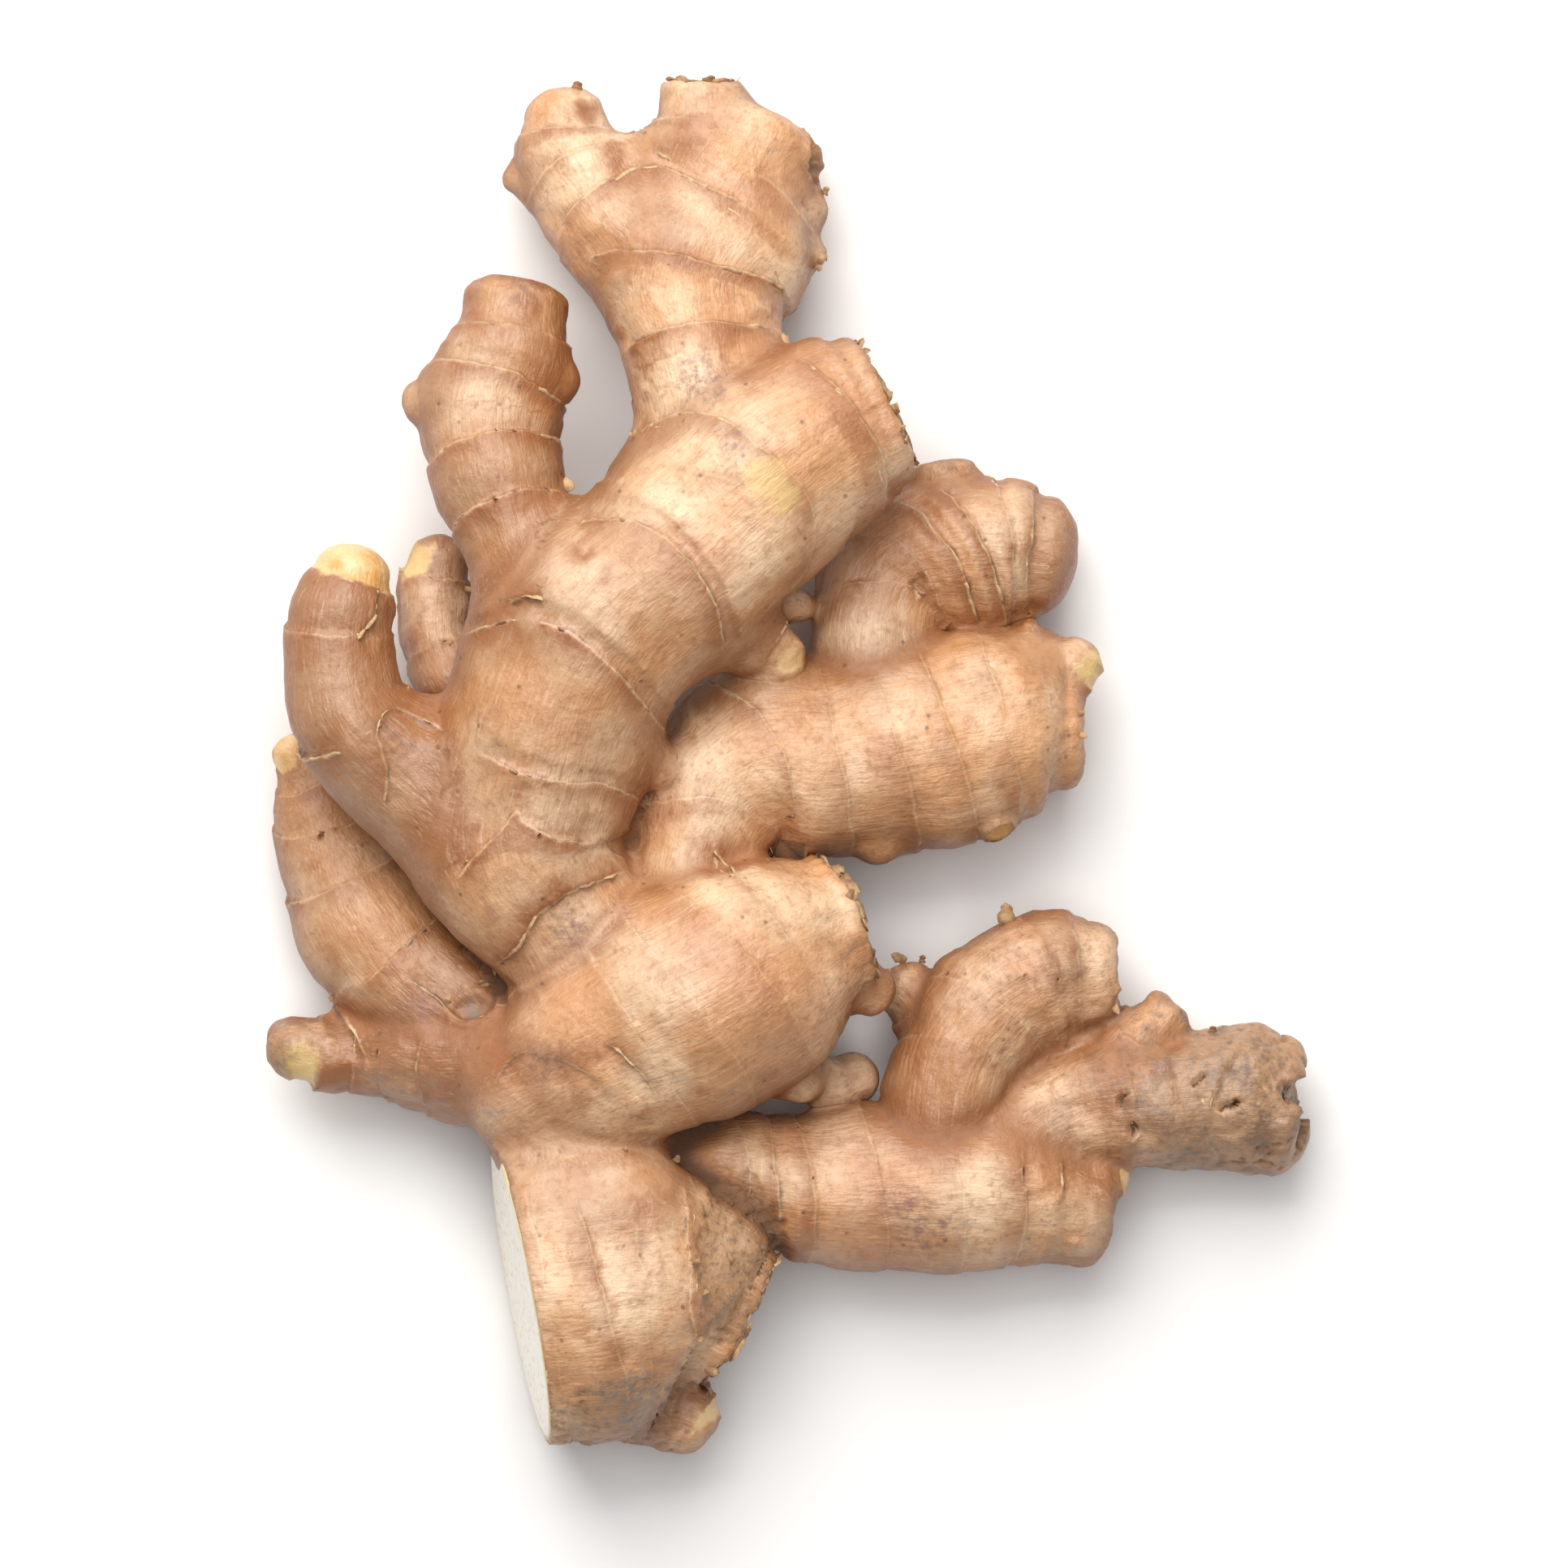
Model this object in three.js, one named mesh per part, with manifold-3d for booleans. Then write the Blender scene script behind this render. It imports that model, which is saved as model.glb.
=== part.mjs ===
// A hand of fresh ginger root: one rhizome with its branched fingers, ringed by leaf scars, with pale
// buds, dry broken ends and one clean cut face. It grew as one piece, so it is one solid.
// Units are millimetres, +Z is up, and the root lies on the plane z = 0 as it lies on a table.
import * as THREE from "three";
import { mergeVertices } from "three/addons/utils/BufferGeometryUtils.js";
import Module from "manifold-3d";

const wasm = await Module();
wasm.setup();

// Driving dimensions
const ringStep = 0.8; // how far the skin drops at the papery edge of a leaf scar
const ringFace = 0.9; // length of that drop along the finger
const swell = 0.35; // how far the skin bulges between two rings
const lumpHeight = 0.45; // low lumps all over the skin
const waveShare = 2 / 3; // three waves that cross seldom meet at their full height
const lumpPitch = 21; // distance from lump to lump
const lumpWaves = [[1, 0.6, 0, 1.3], [0, 1, -0.5, 0.4], [-0.7, 0, 0.8, 2.1]]; // [x, y, z, phase] of each
const scarDepth = 1.8; // how deep the dish of a dry broken end is
const scarFloor = 0.5; // radius of the dish's floor, as a share of the finger's end radius
const cutNormal = new THREE.Vector3(-0.975, -0.18, 0.13).normalize(); // the knife's cut through the foot
const cutPoint = new THREE.Vector3(-41.2, -81, 18);
const centre = [0.17, -1.03]; // middle of the root's box, which becomes the origin
const stockSize = 400; // side of the blocks that cut the foot and the underside
const widestPitch = 9; // longest step between two rows of a finger
const sidesThick = 16; // faces round a finger
const sidesThin = 12; // faces round one that is nowhere wider than thinRadius
const sidesNub = 7; // and than nubRadius
const thinRadius = 11;
const nubRadius = 6;
const rootCap = 45; // angle of the row on a root's round cap, in degrees
const tipCap = [30, 60]; // angles of the rows on a tip's cap
const up = new THREE.Vector3(0, 0, 1);

// Each finger has a centre line of stations [x, y, z, radius]. rings are its leaf scars, as station numbers
// counted from 0, so 2.5 is half way from the third station to the fourth. lean tilts the rings at the root
// and at the tip, [towards the right, towards the top, right at the tip, top at the tip]. flat is the height
// of the section over its width. tip is the end's height as a share of its radius, and its squareness.
// scar marks a dry end where a stem broke off, and cut a piece that the knife goes through.
const fingers = [
  {
    name: "heart",
    line: [[-37.5, -49.5, 22, 12.8], [-26, -42.5, 25, 17.5], [-12.5, -36, 27, 19], [-1.5, -29.6, 26, 16.5],
      [7.2, -25.5, 24, 11.5]],
    flat: 0.92, rings: [0.7, 1.25, 1.75, 2.35, 2.95, 3.5], lean: [0.1, 0.1, 0.2, 0.2], tip: [0.3, 4],
    scar: true,
  },
  {
    name: "trunk",
    line: [[-29, -34, 23, 11], [-34, -25, 25, 13.3], [-40.3, -13, 26.5, 16.1], [-37.5, 0.5, 29, 16],
      [-33.5, 12.5, 31, 16.3], [-25.5, 23.2, 33, 16.4], [-13, 34.2, 34, 15.7], [-1, 44.6, 33, 15.6],
      [6.8, 50.3, 31, 14.6], [12.3, 53, 30, 12]],
    flat: 0.9, rings: [1.9, 3, 4.5, 5.6, 7, 7.8, 8.5], lean: [0, 0, 0, 0.6], tip: [0.3, 4], scar: true,
  },
  {
    name: "crown",
    line: [[-15, 40, 31, 10.5], [-12.5, 52.5, 28, 10.9], [-13, 63.5, 24, 12.3], [-13.6, 71, 20, 13.7],
      [-11.2, 80, 14.2, 16.2], [-8, 89, 13.5, 14.3], [-4.6, 95.2, 13.5, 11]],
    flat: 0.92, rings: [1.1, 2.3, 3.3, 4.2, 5.1], lean: [0, 0.3, -0.6, 0.2], tip: [0.5, 3],
  },
  {
    name: "crown_stub",
    line: [[-12, 90, 14, 7.6], [-12.8, 98.5, 15, 7.2], [-12.8, 103, 15, 6.7]],
    flat: 0.95, rings: [1.1], lean: [0, 0, 0, 0], tip: [0.4, 3.5], scar: true,
  },
  {
    name: "crown_thumb",
    line: [[-17.5, 75, 18, 11], [-26.8, 85, 14, 11.2], [-32.3, 93, 12.5, 9.7], [-33.7, 99.8, 12, 6.3]],
    flat: 0.95, rings: [0.9, 1.7, 2.5], lean: [0, 0.2, 0, 0.2], tip: [0.8, 2],
  },
  {
    name: "first_finger",
    line: [[-34, 20, 31, 12], [-40.3, 32.5, 30, 9.3], [-43.8, 43, 28, 10.4], [-45.2, 53, 26, 11.1],
      [-42.9, 62.5, 25, 9.7], [-42, 68.7, 24, 8.5]],
    flat: 0.95, rings: [1.4, 2.3, 3.4, 4.3], lean: [0, 0.2, 0, 0.2], tip: [0.65, 3],
  },
  {
    name: "second_finger",
    line: [[-50, -9, 27, 10.6], [-59, -1.5, 28, 11], [-66.8, 7.5, 30, 10], [-68.2, 17.5, 31, 8.2],
      [-67.4, 25, 31, 7.6], [-66.4, 29, 31, 6.2]],
    flat: 0.95, rings: [1.9, 3.3, 4.7], lean: [0, -0.15, 0, -0.15], tip: [0.75, 2],
  },
  {
    name: "hidden_finger",
    line: [[-45, 3, 22, 7], [-53, 16, 15, 6.3], [-54.3, 25, 13, 6], [-53.5, 30.7, 13, 4.8]],
    flat: 0.95, rings: [1, 1.8, 2.6], lean: [0, 0.1, 0, 0.1], tip: [1, 2],
  },
  {
    name: "low_finger",
    line: [[-42, -43.5, 19, 9.4], [-57.2, -33.3, 12.3, 12.2], [-65.3, -22.5, 10.3, 11.8],
      [-69.8, -13, 9.5, 9], [-72.8, -4.5, 11, 6.2], [-76, 1, 13, 3.4]],
    flat: 0.92, rings: [1.3, 2.5, 3.5, 4.4], lean: [0, -0.2, 0, -0.2], tip: [1, 2],
  },
  {
    name: "side_finger",
    line: [[-40, -45.5, 20, 11.3], [-50.5, -45.5, 16, 10.6], [-58.5, -45, 14, 9], [-65, -45, 13, 7],
      [-71, -44.5, 13.5, 5.8], [-76, -44, 14.5, 4.5]],
    flat: 0.95, rings: [1.4, 2.4, 3.3, 4.2], lean: [0, 0, 0, 0], tip: [1, 2],
  },
  {
    name: "foot",
    line: [[-51, -83.5, 18.5, 20], [-33.5, -82, 19, 23.5], [-22.5, -80.8, 19, 22], [-14, -81.5, 18, 18],
      [-9.7, -84, 17, 13.5]],
    flat: 0.82, rings: [0.75, 1.3, 1.85, 2.6], lean: [0.15, 0.1, 0.1, 0.1], tip: [0.3, 4], scar: true,
    cut: true,
  },
  {
    name: "foot_neck",
    line: [[-35, -46.5, 22, 11.3], [-33.5, -58, 20, 12.5], [-30.5, -69, 19, 17]],
    flat: 0.92, rings: [0.5, 1.2], lean: [0, 0.3, 0, 0.3], tip: [0.6, 2], cut: true,
  },
  {
    name: "toe",
    line: [[-26, -94, 16, 7.5], [-20, -99.5, 14, 6.9], [-15.5, -101.5, 13, 5.3]],
    flat: 0.95, rings: [1.2], lean: [0, 0.1, 0, 0.1], tip: [1, 2],
  },
  {
    name: "arm",
    line: [[-21, -64.5, 18, 8.1], [-11, -64, 16, 9.5], [-1, -65.5, 14.5, 11.3], [14, -66, 13.2, 12.9],
      [29, -65.5, 12.7, 13.5], [39, -66.5, 12.5, 12], [46.5, -68.4, 12.5, 9]],
    flat: 0.95, rings: [1.3, 1.75, 2.2, 2.9, 3.7, 4.5, 5.3], lean: [0.3, 0.15, 0, 0.1], tip: [0.55, 2.3],
    scar: true,
  },
  {
    name: "arm_branch",
    line: [[24.5, -56.5, 14, 10], [27, -45.5, 13, 10.3], [33, -37.5, 12.5, 11], [40.5, -33.5, 12, 10.7],
      [47.4, -33, 12, 8.4]],
    flat: 0.95, rings: [0.9, 1.7, 2.3, 3, 3.6], lean: [0, 0.25, 0.4, 0.2], tip: [0.6, 2.3], scar: true,
  },
  {
    name: "arm_bump",
    line: [[26, -44, 11, 7.5], [21, -38, 10, 6.3], [19, -36, 10, 5]],
    flat: 0.95, rings: [1.2], lean: [0, 0, 0, 0], tip: [0.8, 2],
  },
  {
    name: "old_end",
    line: [[34, -61, 13, 10], [44, -55, 12.5, 9.8], [54, -53, 12, 10.5], [64, -52.5, 11, 11.2],
      [72, -52.8, 10.5, 11.7], [76, -53.3, 10.5, 10]],
    flat: 0.95, rings: [1.3, 1.8, 2.3, 2.8, 3.4, 4.1], lean: [0, 0.1, 0, 0.1], tip: [0.4, 3], scar: true,
  },
  {
    name: "old_branch",
    line: [[51, -51, 13, 7.3], [55, -43.5, 13, 5.9], [58.4, -39.8, 13, 4.6]],
    flat: 0.95, rings: [1], lean: [0, 0, 0, 0], tip: [0.7, 3],
  },
  {
    name: "wing",
    line: [[-15, -28, 24, 10.6], [-14.2, -15.5, 22, 9.6], [-10, -4.6, 19.5, 12.9], [-3.5, 0.2, 17.5, 15.1],
      [8, 1, 16, 15.8], [19, 2.5, 15.5, 16.6], [29.5, 4.5, 15.2, 16],
      [38, 6, 14.5, 13.8], [42.3, 6, 14, 10.3]],
    flat: 0.95, rings: [1.5, 2.9, 3.8, 4.7, 5.5, 6.3, 7.2], lean: [0.25, 0.15, 0.05, 0], tip: [0.4, 2.6],
    scar: true,
  },
  {
    name: "wing_branch",
    line: [[14, 11, 16, 10.6], [14, 21.5, 14.5, 10.5], [17, 29, 13, 11], [25.5, 31.8, 12.3, 12.3],
      [34, 32.3, 12, 11.9], [38.9, 31.7, 12, 9.6]],
    flat: 0.95, rings: [1.3, 2.1, 2.7, 3.3, 4, 4.7], lean: [0.2, 0.2, 0.6, 0.2], tip: [0.55, 2.5],
  },
  {
    name: "wing_stub",
    line: [[25.5, 36, 13, 6.3], [25.3, 41.5, 13, 5.5], [24.9, 44.3, 13, 5.2]],
    flat: 0.95, rings: [1.1], lean: [0, 0, 0, 0], tip: [0.5, 3],
  },
  {
    name: "trunk_spur",
    line: [[-11, 22.5, 30, 9.4], [-4, 18.5, 27, 5.6], [-1, 16.5, 26, 3.8]],
    flat: 1, rings: [1.3], lean: [0, 0, 0, 0], tip: [0.9, 2],
  },
];

// Nubs and buds are short side shoots that have not grown into fingers, with no ring.
const nubs = [
  ["heart_nub", [-3, -46.5, 20, 4.8], [2.5, -50, 18, 3]],
  ["heart_bud", [-1, -45.5, 17, 4], [6, -49.5, 13, 4], [10.5, -48.5, 11, 3.5]],
  ["heart_knob", [8, -33.5, 22, 6], [13.3, -35.7, 21, 4.3]],
  ["trunk_bud", [-6, 28, 26, 4.5], [-2, 24.5, 22, 3.5], [2, 24, 20, 2.8]],
  ["trunk_nub", [-22.5, 1.5, 29, 3.8], [-19.5, -0.5, 28, 2.5]],
  ["end_bud", [12, 42.5, 30, 3.8], [14.5, 41, 29, 2.3]],
  ["wing_nub", [14, -8, 18, 5.6], [14.5, -13, 19, 3.5]],
  ["wing_low_bud", [31, -6.5, 17.5, 4.4], [32.2, -9.6, 19.5, 2.6]],
  ["wing_top_bud", [39.5, 14, 16, 7.8], [44.1, 14.9, 17, 4.7]],
  ["crown_nub", [2, 79, 15, 3.8], [5, 78.5, 15, 2]],
  ["crown_bump", [1, 86, 14, 5.5], [4, 84.8, 14, 3.6]],
  ["thumb_nub", [-38.5, 89, 12, 3.8], [-41.5, 90, 12, 2.3]],
  ["first_nub_left", [-53, 55, 26, 5.6], [-56, 55, 26, 3]],
  ["first_nub_right", [-37, 58.5, 26, 4.4], [-34.5, 58.5, 26, 2.5]],
  ["branch_nub", [43, -42, 12, 3.8], [46, -43, 12, 2]],
  ["arm_end_bud", [48, -64.5, 14, 4.5], [50.5, -64.5, 14, 2.8]],
  ["foot_bud", [-30.5, -102, 15, 3.5], [-30, -104, 15, 2.6]],
  ["old_knob_high", [74, -46.5, 11, 5.6], [77.4, -45.8, 11, 3.5]],
  ["old_knob_low", [75, -58, 10, 6.3], [77.5, -58, 10, 3.6]],
].map(([name, ...line]) => ({ name, line, flat: 1, rings: [], lean: [0, 0, 0, 0], tip: [0.9, 2] }));

// A smooth curve through points, whose share runs from 0 at the first station to 1 at the last.
function smoothCurve(points) {
  return new THREE.CatmullRomCurve3(points, false, "catmullrom", 0.5);
}

// The centre line: for a station number, the place, the directions along, right and top, the radius, and
// the length in millimetres of one station number there.
function makeLine(finger) {
  const last = finger.line.length - 1;
  const curve = smoothCurve(finger.line.map(([x, y, z]) => new THREE.Vector3(x, y, z)));
  const radii = smoothCurve(finger.line.map(([, , , r]) => new THREE.Vector3(r, 0, 0)));
  const near = 0.01;
  return (station) => {
    const share = THREE.MathUtils.clamp(station / last, 0, 1);
    const before = Math.max(share - near, 0);
    const after = Math.min(share + near, 1);
    const along = curve.getTangent(share).normalize();
    const right = new THREE.Vector3().crossVectors(along, up).normalize();
    return {
      place: curve.getPoint(share),
      along,
      right,
      top: new THREE.Vector3().crossVectors(right, along),
      radius: radii.getPoint(share).x,
      speed: curve.getPoint(before).distanceTo(curve.getPoint(after)) / ((after - before) * last),
    };
  };
}

// Low lumps: the sum of three sine waves that cross at an angle, as a height at a point.
function lump(p) {
  const turn = (2 * Math.PI) / lumpPitch;
  const waves = lumpWaves.map(([x, y, z, phase]) => Math.sin(turn * (x * p.x + y * p.y + z * p.z) + phase));
  return (waves[0] + waves[1] + waves[2]) * lumpHeight * waveShare;
}

// Rows of the skin between two rings: low after the ring behind, swollen, then high at the ring ahead.
function makeStretch(at, from, stop, isFirst, isLast) {
  const { speed } = at((from + stop) / 2);
  const begin = from + (isFirst ? 0 : ringFace / speed);
  const count = Math.max(1, Math.round(((stop - begin) * speed) / widestPitch));
  return Array.from({ length: count + 1 }, (_, n) => {
    const share = n / count;
    const low = isFirst ? 0 : -(ringStep / 2) * (1 - share);
    const high = isLast ? 0 : (ringStep / 2) * share;
    const rise = low + high + swell * Math.sin(Math.PI * share);
    return { station: begin + (stop - begin) * share, push: 0, share: 1, rise };
  });
}

// Rows of one finger from its root cap to its tip cap. Each has a station number, a push along the line past
// the end, a share of the radius, and a rise over the plain skin. A scar's last row is the dish's floor.
function makeRows(finger) {
  const last = finger.line.length - 1;
  const at = makeLine(finger);
  const [height, square] = finger.tip;
  const stops = [0, ...finger.rings, last];
  const back = THREE.MathUtils.degToRad(rootCap);
  const root = { station: 0, push: -at(0).radius * Math.sin(back), share: Math.cos(back), rise: 0 };
  const body = stops.slice(1).flatMap((stop, i) => makeStretch(at, stops[i], stop, i === 0, stop === last));
  const tip = tipCap.map(THREE.MathUtils.degToRad).map((angle) => (
    {
      station: last,
      push: height * at(last).radius * Math.sin(angle) ** (2 / square),
      share: Math.cos(angle) ** (2 / square),
      rise: 0,
    }
  ));
  if (finger.scar) {
    tip.pop();
    tip.push({ station: last, push: height * at(last).radius - scarDepth, share: scarFloor, rise: 0 });
  }
  return [root, ...body, ...tip];
}

// A finger as a closed skin: rows of points round its line, with a pole at each end.
function makeFinger(finger) {
  const at = makeLine(finger);
  const last = finger.line.length - 1;
  const widest = Math.max(...finger.line.map(([, , , r]) => r));
  const around = widest <= nubRadius ? sidesNub : widest <= thinRadius ? sidesThin : sidesThick;
  const rows = makeRows(finger);
  const [rootRight, rootTop, tipRight, tipTop] = finger.lean;
  const points = [];
  for (const row of rows) {
    const { radius, speed } = at(row.station);
    const reachBack = (row.station * speed) / radius;
    const reachOn = ((last - row.station) * speed) / radius;
    const fade = row.push ? 0 : Math.min(1, reachBack, reachOn);
    const leanRight = THREE.MathUtils.lerp(rootRight, tipRight, row.station / last);
    const leanTop = THREE.MathUtils.lerp(rootTop, tipTop, row.station / last);
    for (let n = 0; n < around; n++) {
      const angle = (2 * Math.PI * n) / around;
      const lean = leanRight * Math.cos(angle) + leanTop * Math.sin(angle);
      const spot = at(row.station + (lean * radius * fade) / speed);
      const reach = spot.radius * row.share + row.rise;
      const p = spot.place.clone()
        .addScaledVector(spot.right, reach * Math.cos(angle))
        .addScaledVector(spot.top, reach * finger.flat * Math.sin(angle));
      const outwards = p.clone().sub(spot.place).normalize();
      p.addScaledVector(spot.along, row.push);
      points.push(p.addScaledVector(outwards, lump(p)));
    }
  }
  const start = at(0);
  const end = at(last);
  const tipHeight = end.radius * finger.tip[0] - (finger.scar ? scarDepth : 0);
  const rootPole = points.push(start.place.addScaledVector(start.along, -start.radius)) - 1;
  const tipPole = points.push(end.place.addScaledVector(end.along, tipHeight)) - 1;
  const lastRow = (rows.length - 1) * around;
  const faces = [];
  for (let n = 0; n < around; n++) {
    const next = (n + 1) % around;
    for (let row = 0; row < lastRow; row += around) {
      faces.push(row + n, row + next + around, row + next, row + n, row + n + around, row + next + around);
    }
    faces.push(rootPole, n, next, tipPole, lastRow + next, lastRow + n);
  }
  return new THREE.BufferGeometry().setFromPoints(points).setIndex(faces);
}

// A large block whose face lies on a plane, with its bulk on the side that the normal points to.
function makeBlock(normal, point) {
  const block = new THREE.BoxGeometry(stockSize, stockSize, stockSize);
  block.deleteAttribute("normal");
  block.deleteAttribute("uv");
  block.translate(0, 0, stockSize / 2);
  block.applyQuaternion(new THREE.Quaternion().setFromUnitVectors(up, normal));
  block.translate(point.x, point.y, point.z);
  return mergeVertices(block);
}

function toSolid(geometry) {
  return new wasm.Manifold(new wasm.Mesh({
    numProp: 3,
    vertProperties: new Float32Array(geometry.attributes.position.array),
    triVerts: new Uint32Array(geometry.index.array),
  }));
}

const knife = toSolid(makeBlock(cutNormal, cutPoint));
const table = toSolid(makeBlock(up.clone().negate(), new THREE.Vector3()));
const grown = [...fingers, ...nubs].map((finger) => {
  const solid = toSolid(makeFinger(finger));
  return finger.cut ? solid.subtract(knife) : solid;
});
const hand = grown.reduce((all, solid) => all.add(solid)).subtract(table);

const { vertProperties, triVerts } = hand.getMesh();
const skin = new THREE.BufferGeometry();
skin.setAttribute("position", new THREE.BufferAttribute(new Float32Array(vertProperties), 3));
skin.setIndex(new THREE.BufferAttribute(new Uint32Array(triVerts), 1));

const rind = new THREE.MeshStandardMaterial({ color: 0xcfa77b, roughness: 0.6, metalness: 0 });
const ginger = new THREE.Mesh(skin, rind);
ginger.name = "ginger_root";
ginger.position.set(-centre[0], -centre[1], 0);

const root = new THREE.Group();
root.add(ginger);
export default root;
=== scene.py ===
# A hand of fresh ginger root lying on a pale table, seen from above.
# The skin is worked out from the same centre lines as the solid, so it keeps the solid's form, and it adds
# the leaf-scar rims, wrinkles, buds, dry torn ends and the one clean cut that the solid is too coarse for.
import bpy
import bmesh
import numpy as np
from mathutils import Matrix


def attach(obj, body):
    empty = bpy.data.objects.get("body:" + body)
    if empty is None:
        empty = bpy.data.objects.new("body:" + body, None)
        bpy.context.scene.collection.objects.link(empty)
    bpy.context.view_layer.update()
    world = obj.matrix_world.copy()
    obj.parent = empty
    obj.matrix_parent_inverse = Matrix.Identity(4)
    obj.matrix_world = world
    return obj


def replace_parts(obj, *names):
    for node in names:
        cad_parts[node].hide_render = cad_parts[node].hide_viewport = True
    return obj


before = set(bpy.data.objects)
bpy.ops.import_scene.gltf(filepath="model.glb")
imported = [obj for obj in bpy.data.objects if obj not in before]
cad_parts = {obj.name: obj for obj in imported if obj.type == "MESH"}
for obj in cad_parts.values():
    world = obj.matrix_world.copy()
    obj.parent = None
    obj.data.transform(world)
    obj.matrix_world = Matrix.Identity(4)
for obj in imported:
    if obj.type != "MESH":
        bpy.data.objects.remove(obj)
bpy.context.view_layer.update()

mm = 0.001

# Everything below is drawn in millimetres round this point, which becomes the frame's origin.
hand = dict(
    middle=(0.17, -1.03, 0.0),
    voxel=0.7,  # side of the skin's faces before they are thinned
    mostTriangles=196000,
    reach=7.0,  # how far from a finger its form still counts
    traitBlend=1.8,  # how softly one finger's colour runs into the next
    ringSpan=6.0,  # how far past a ring its bands of colour are drawn
    forceSpan=(0.6, 1.15),  # weakest and strongest ring of a finger
    weld=0.002,  # corners of the solid that are this near are one corner
    snapReach=0.5, snapForce=0.25, snapApart=0.5,  # corners half a face from a clear ring are drawn onto it
    spineSteps=24, foldSteps=6,  # steps between two stations of a finger and of a fold
    far=1e3, farApart=9, longStep=2,  # farther than anything, the widest gap that counts, the longest step
    leastSlope=0.35, leastWeight=1e-9, small=1e-3, nothing=1e-6,  # these keep a division from going wild
    seed=11,
)

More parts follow.
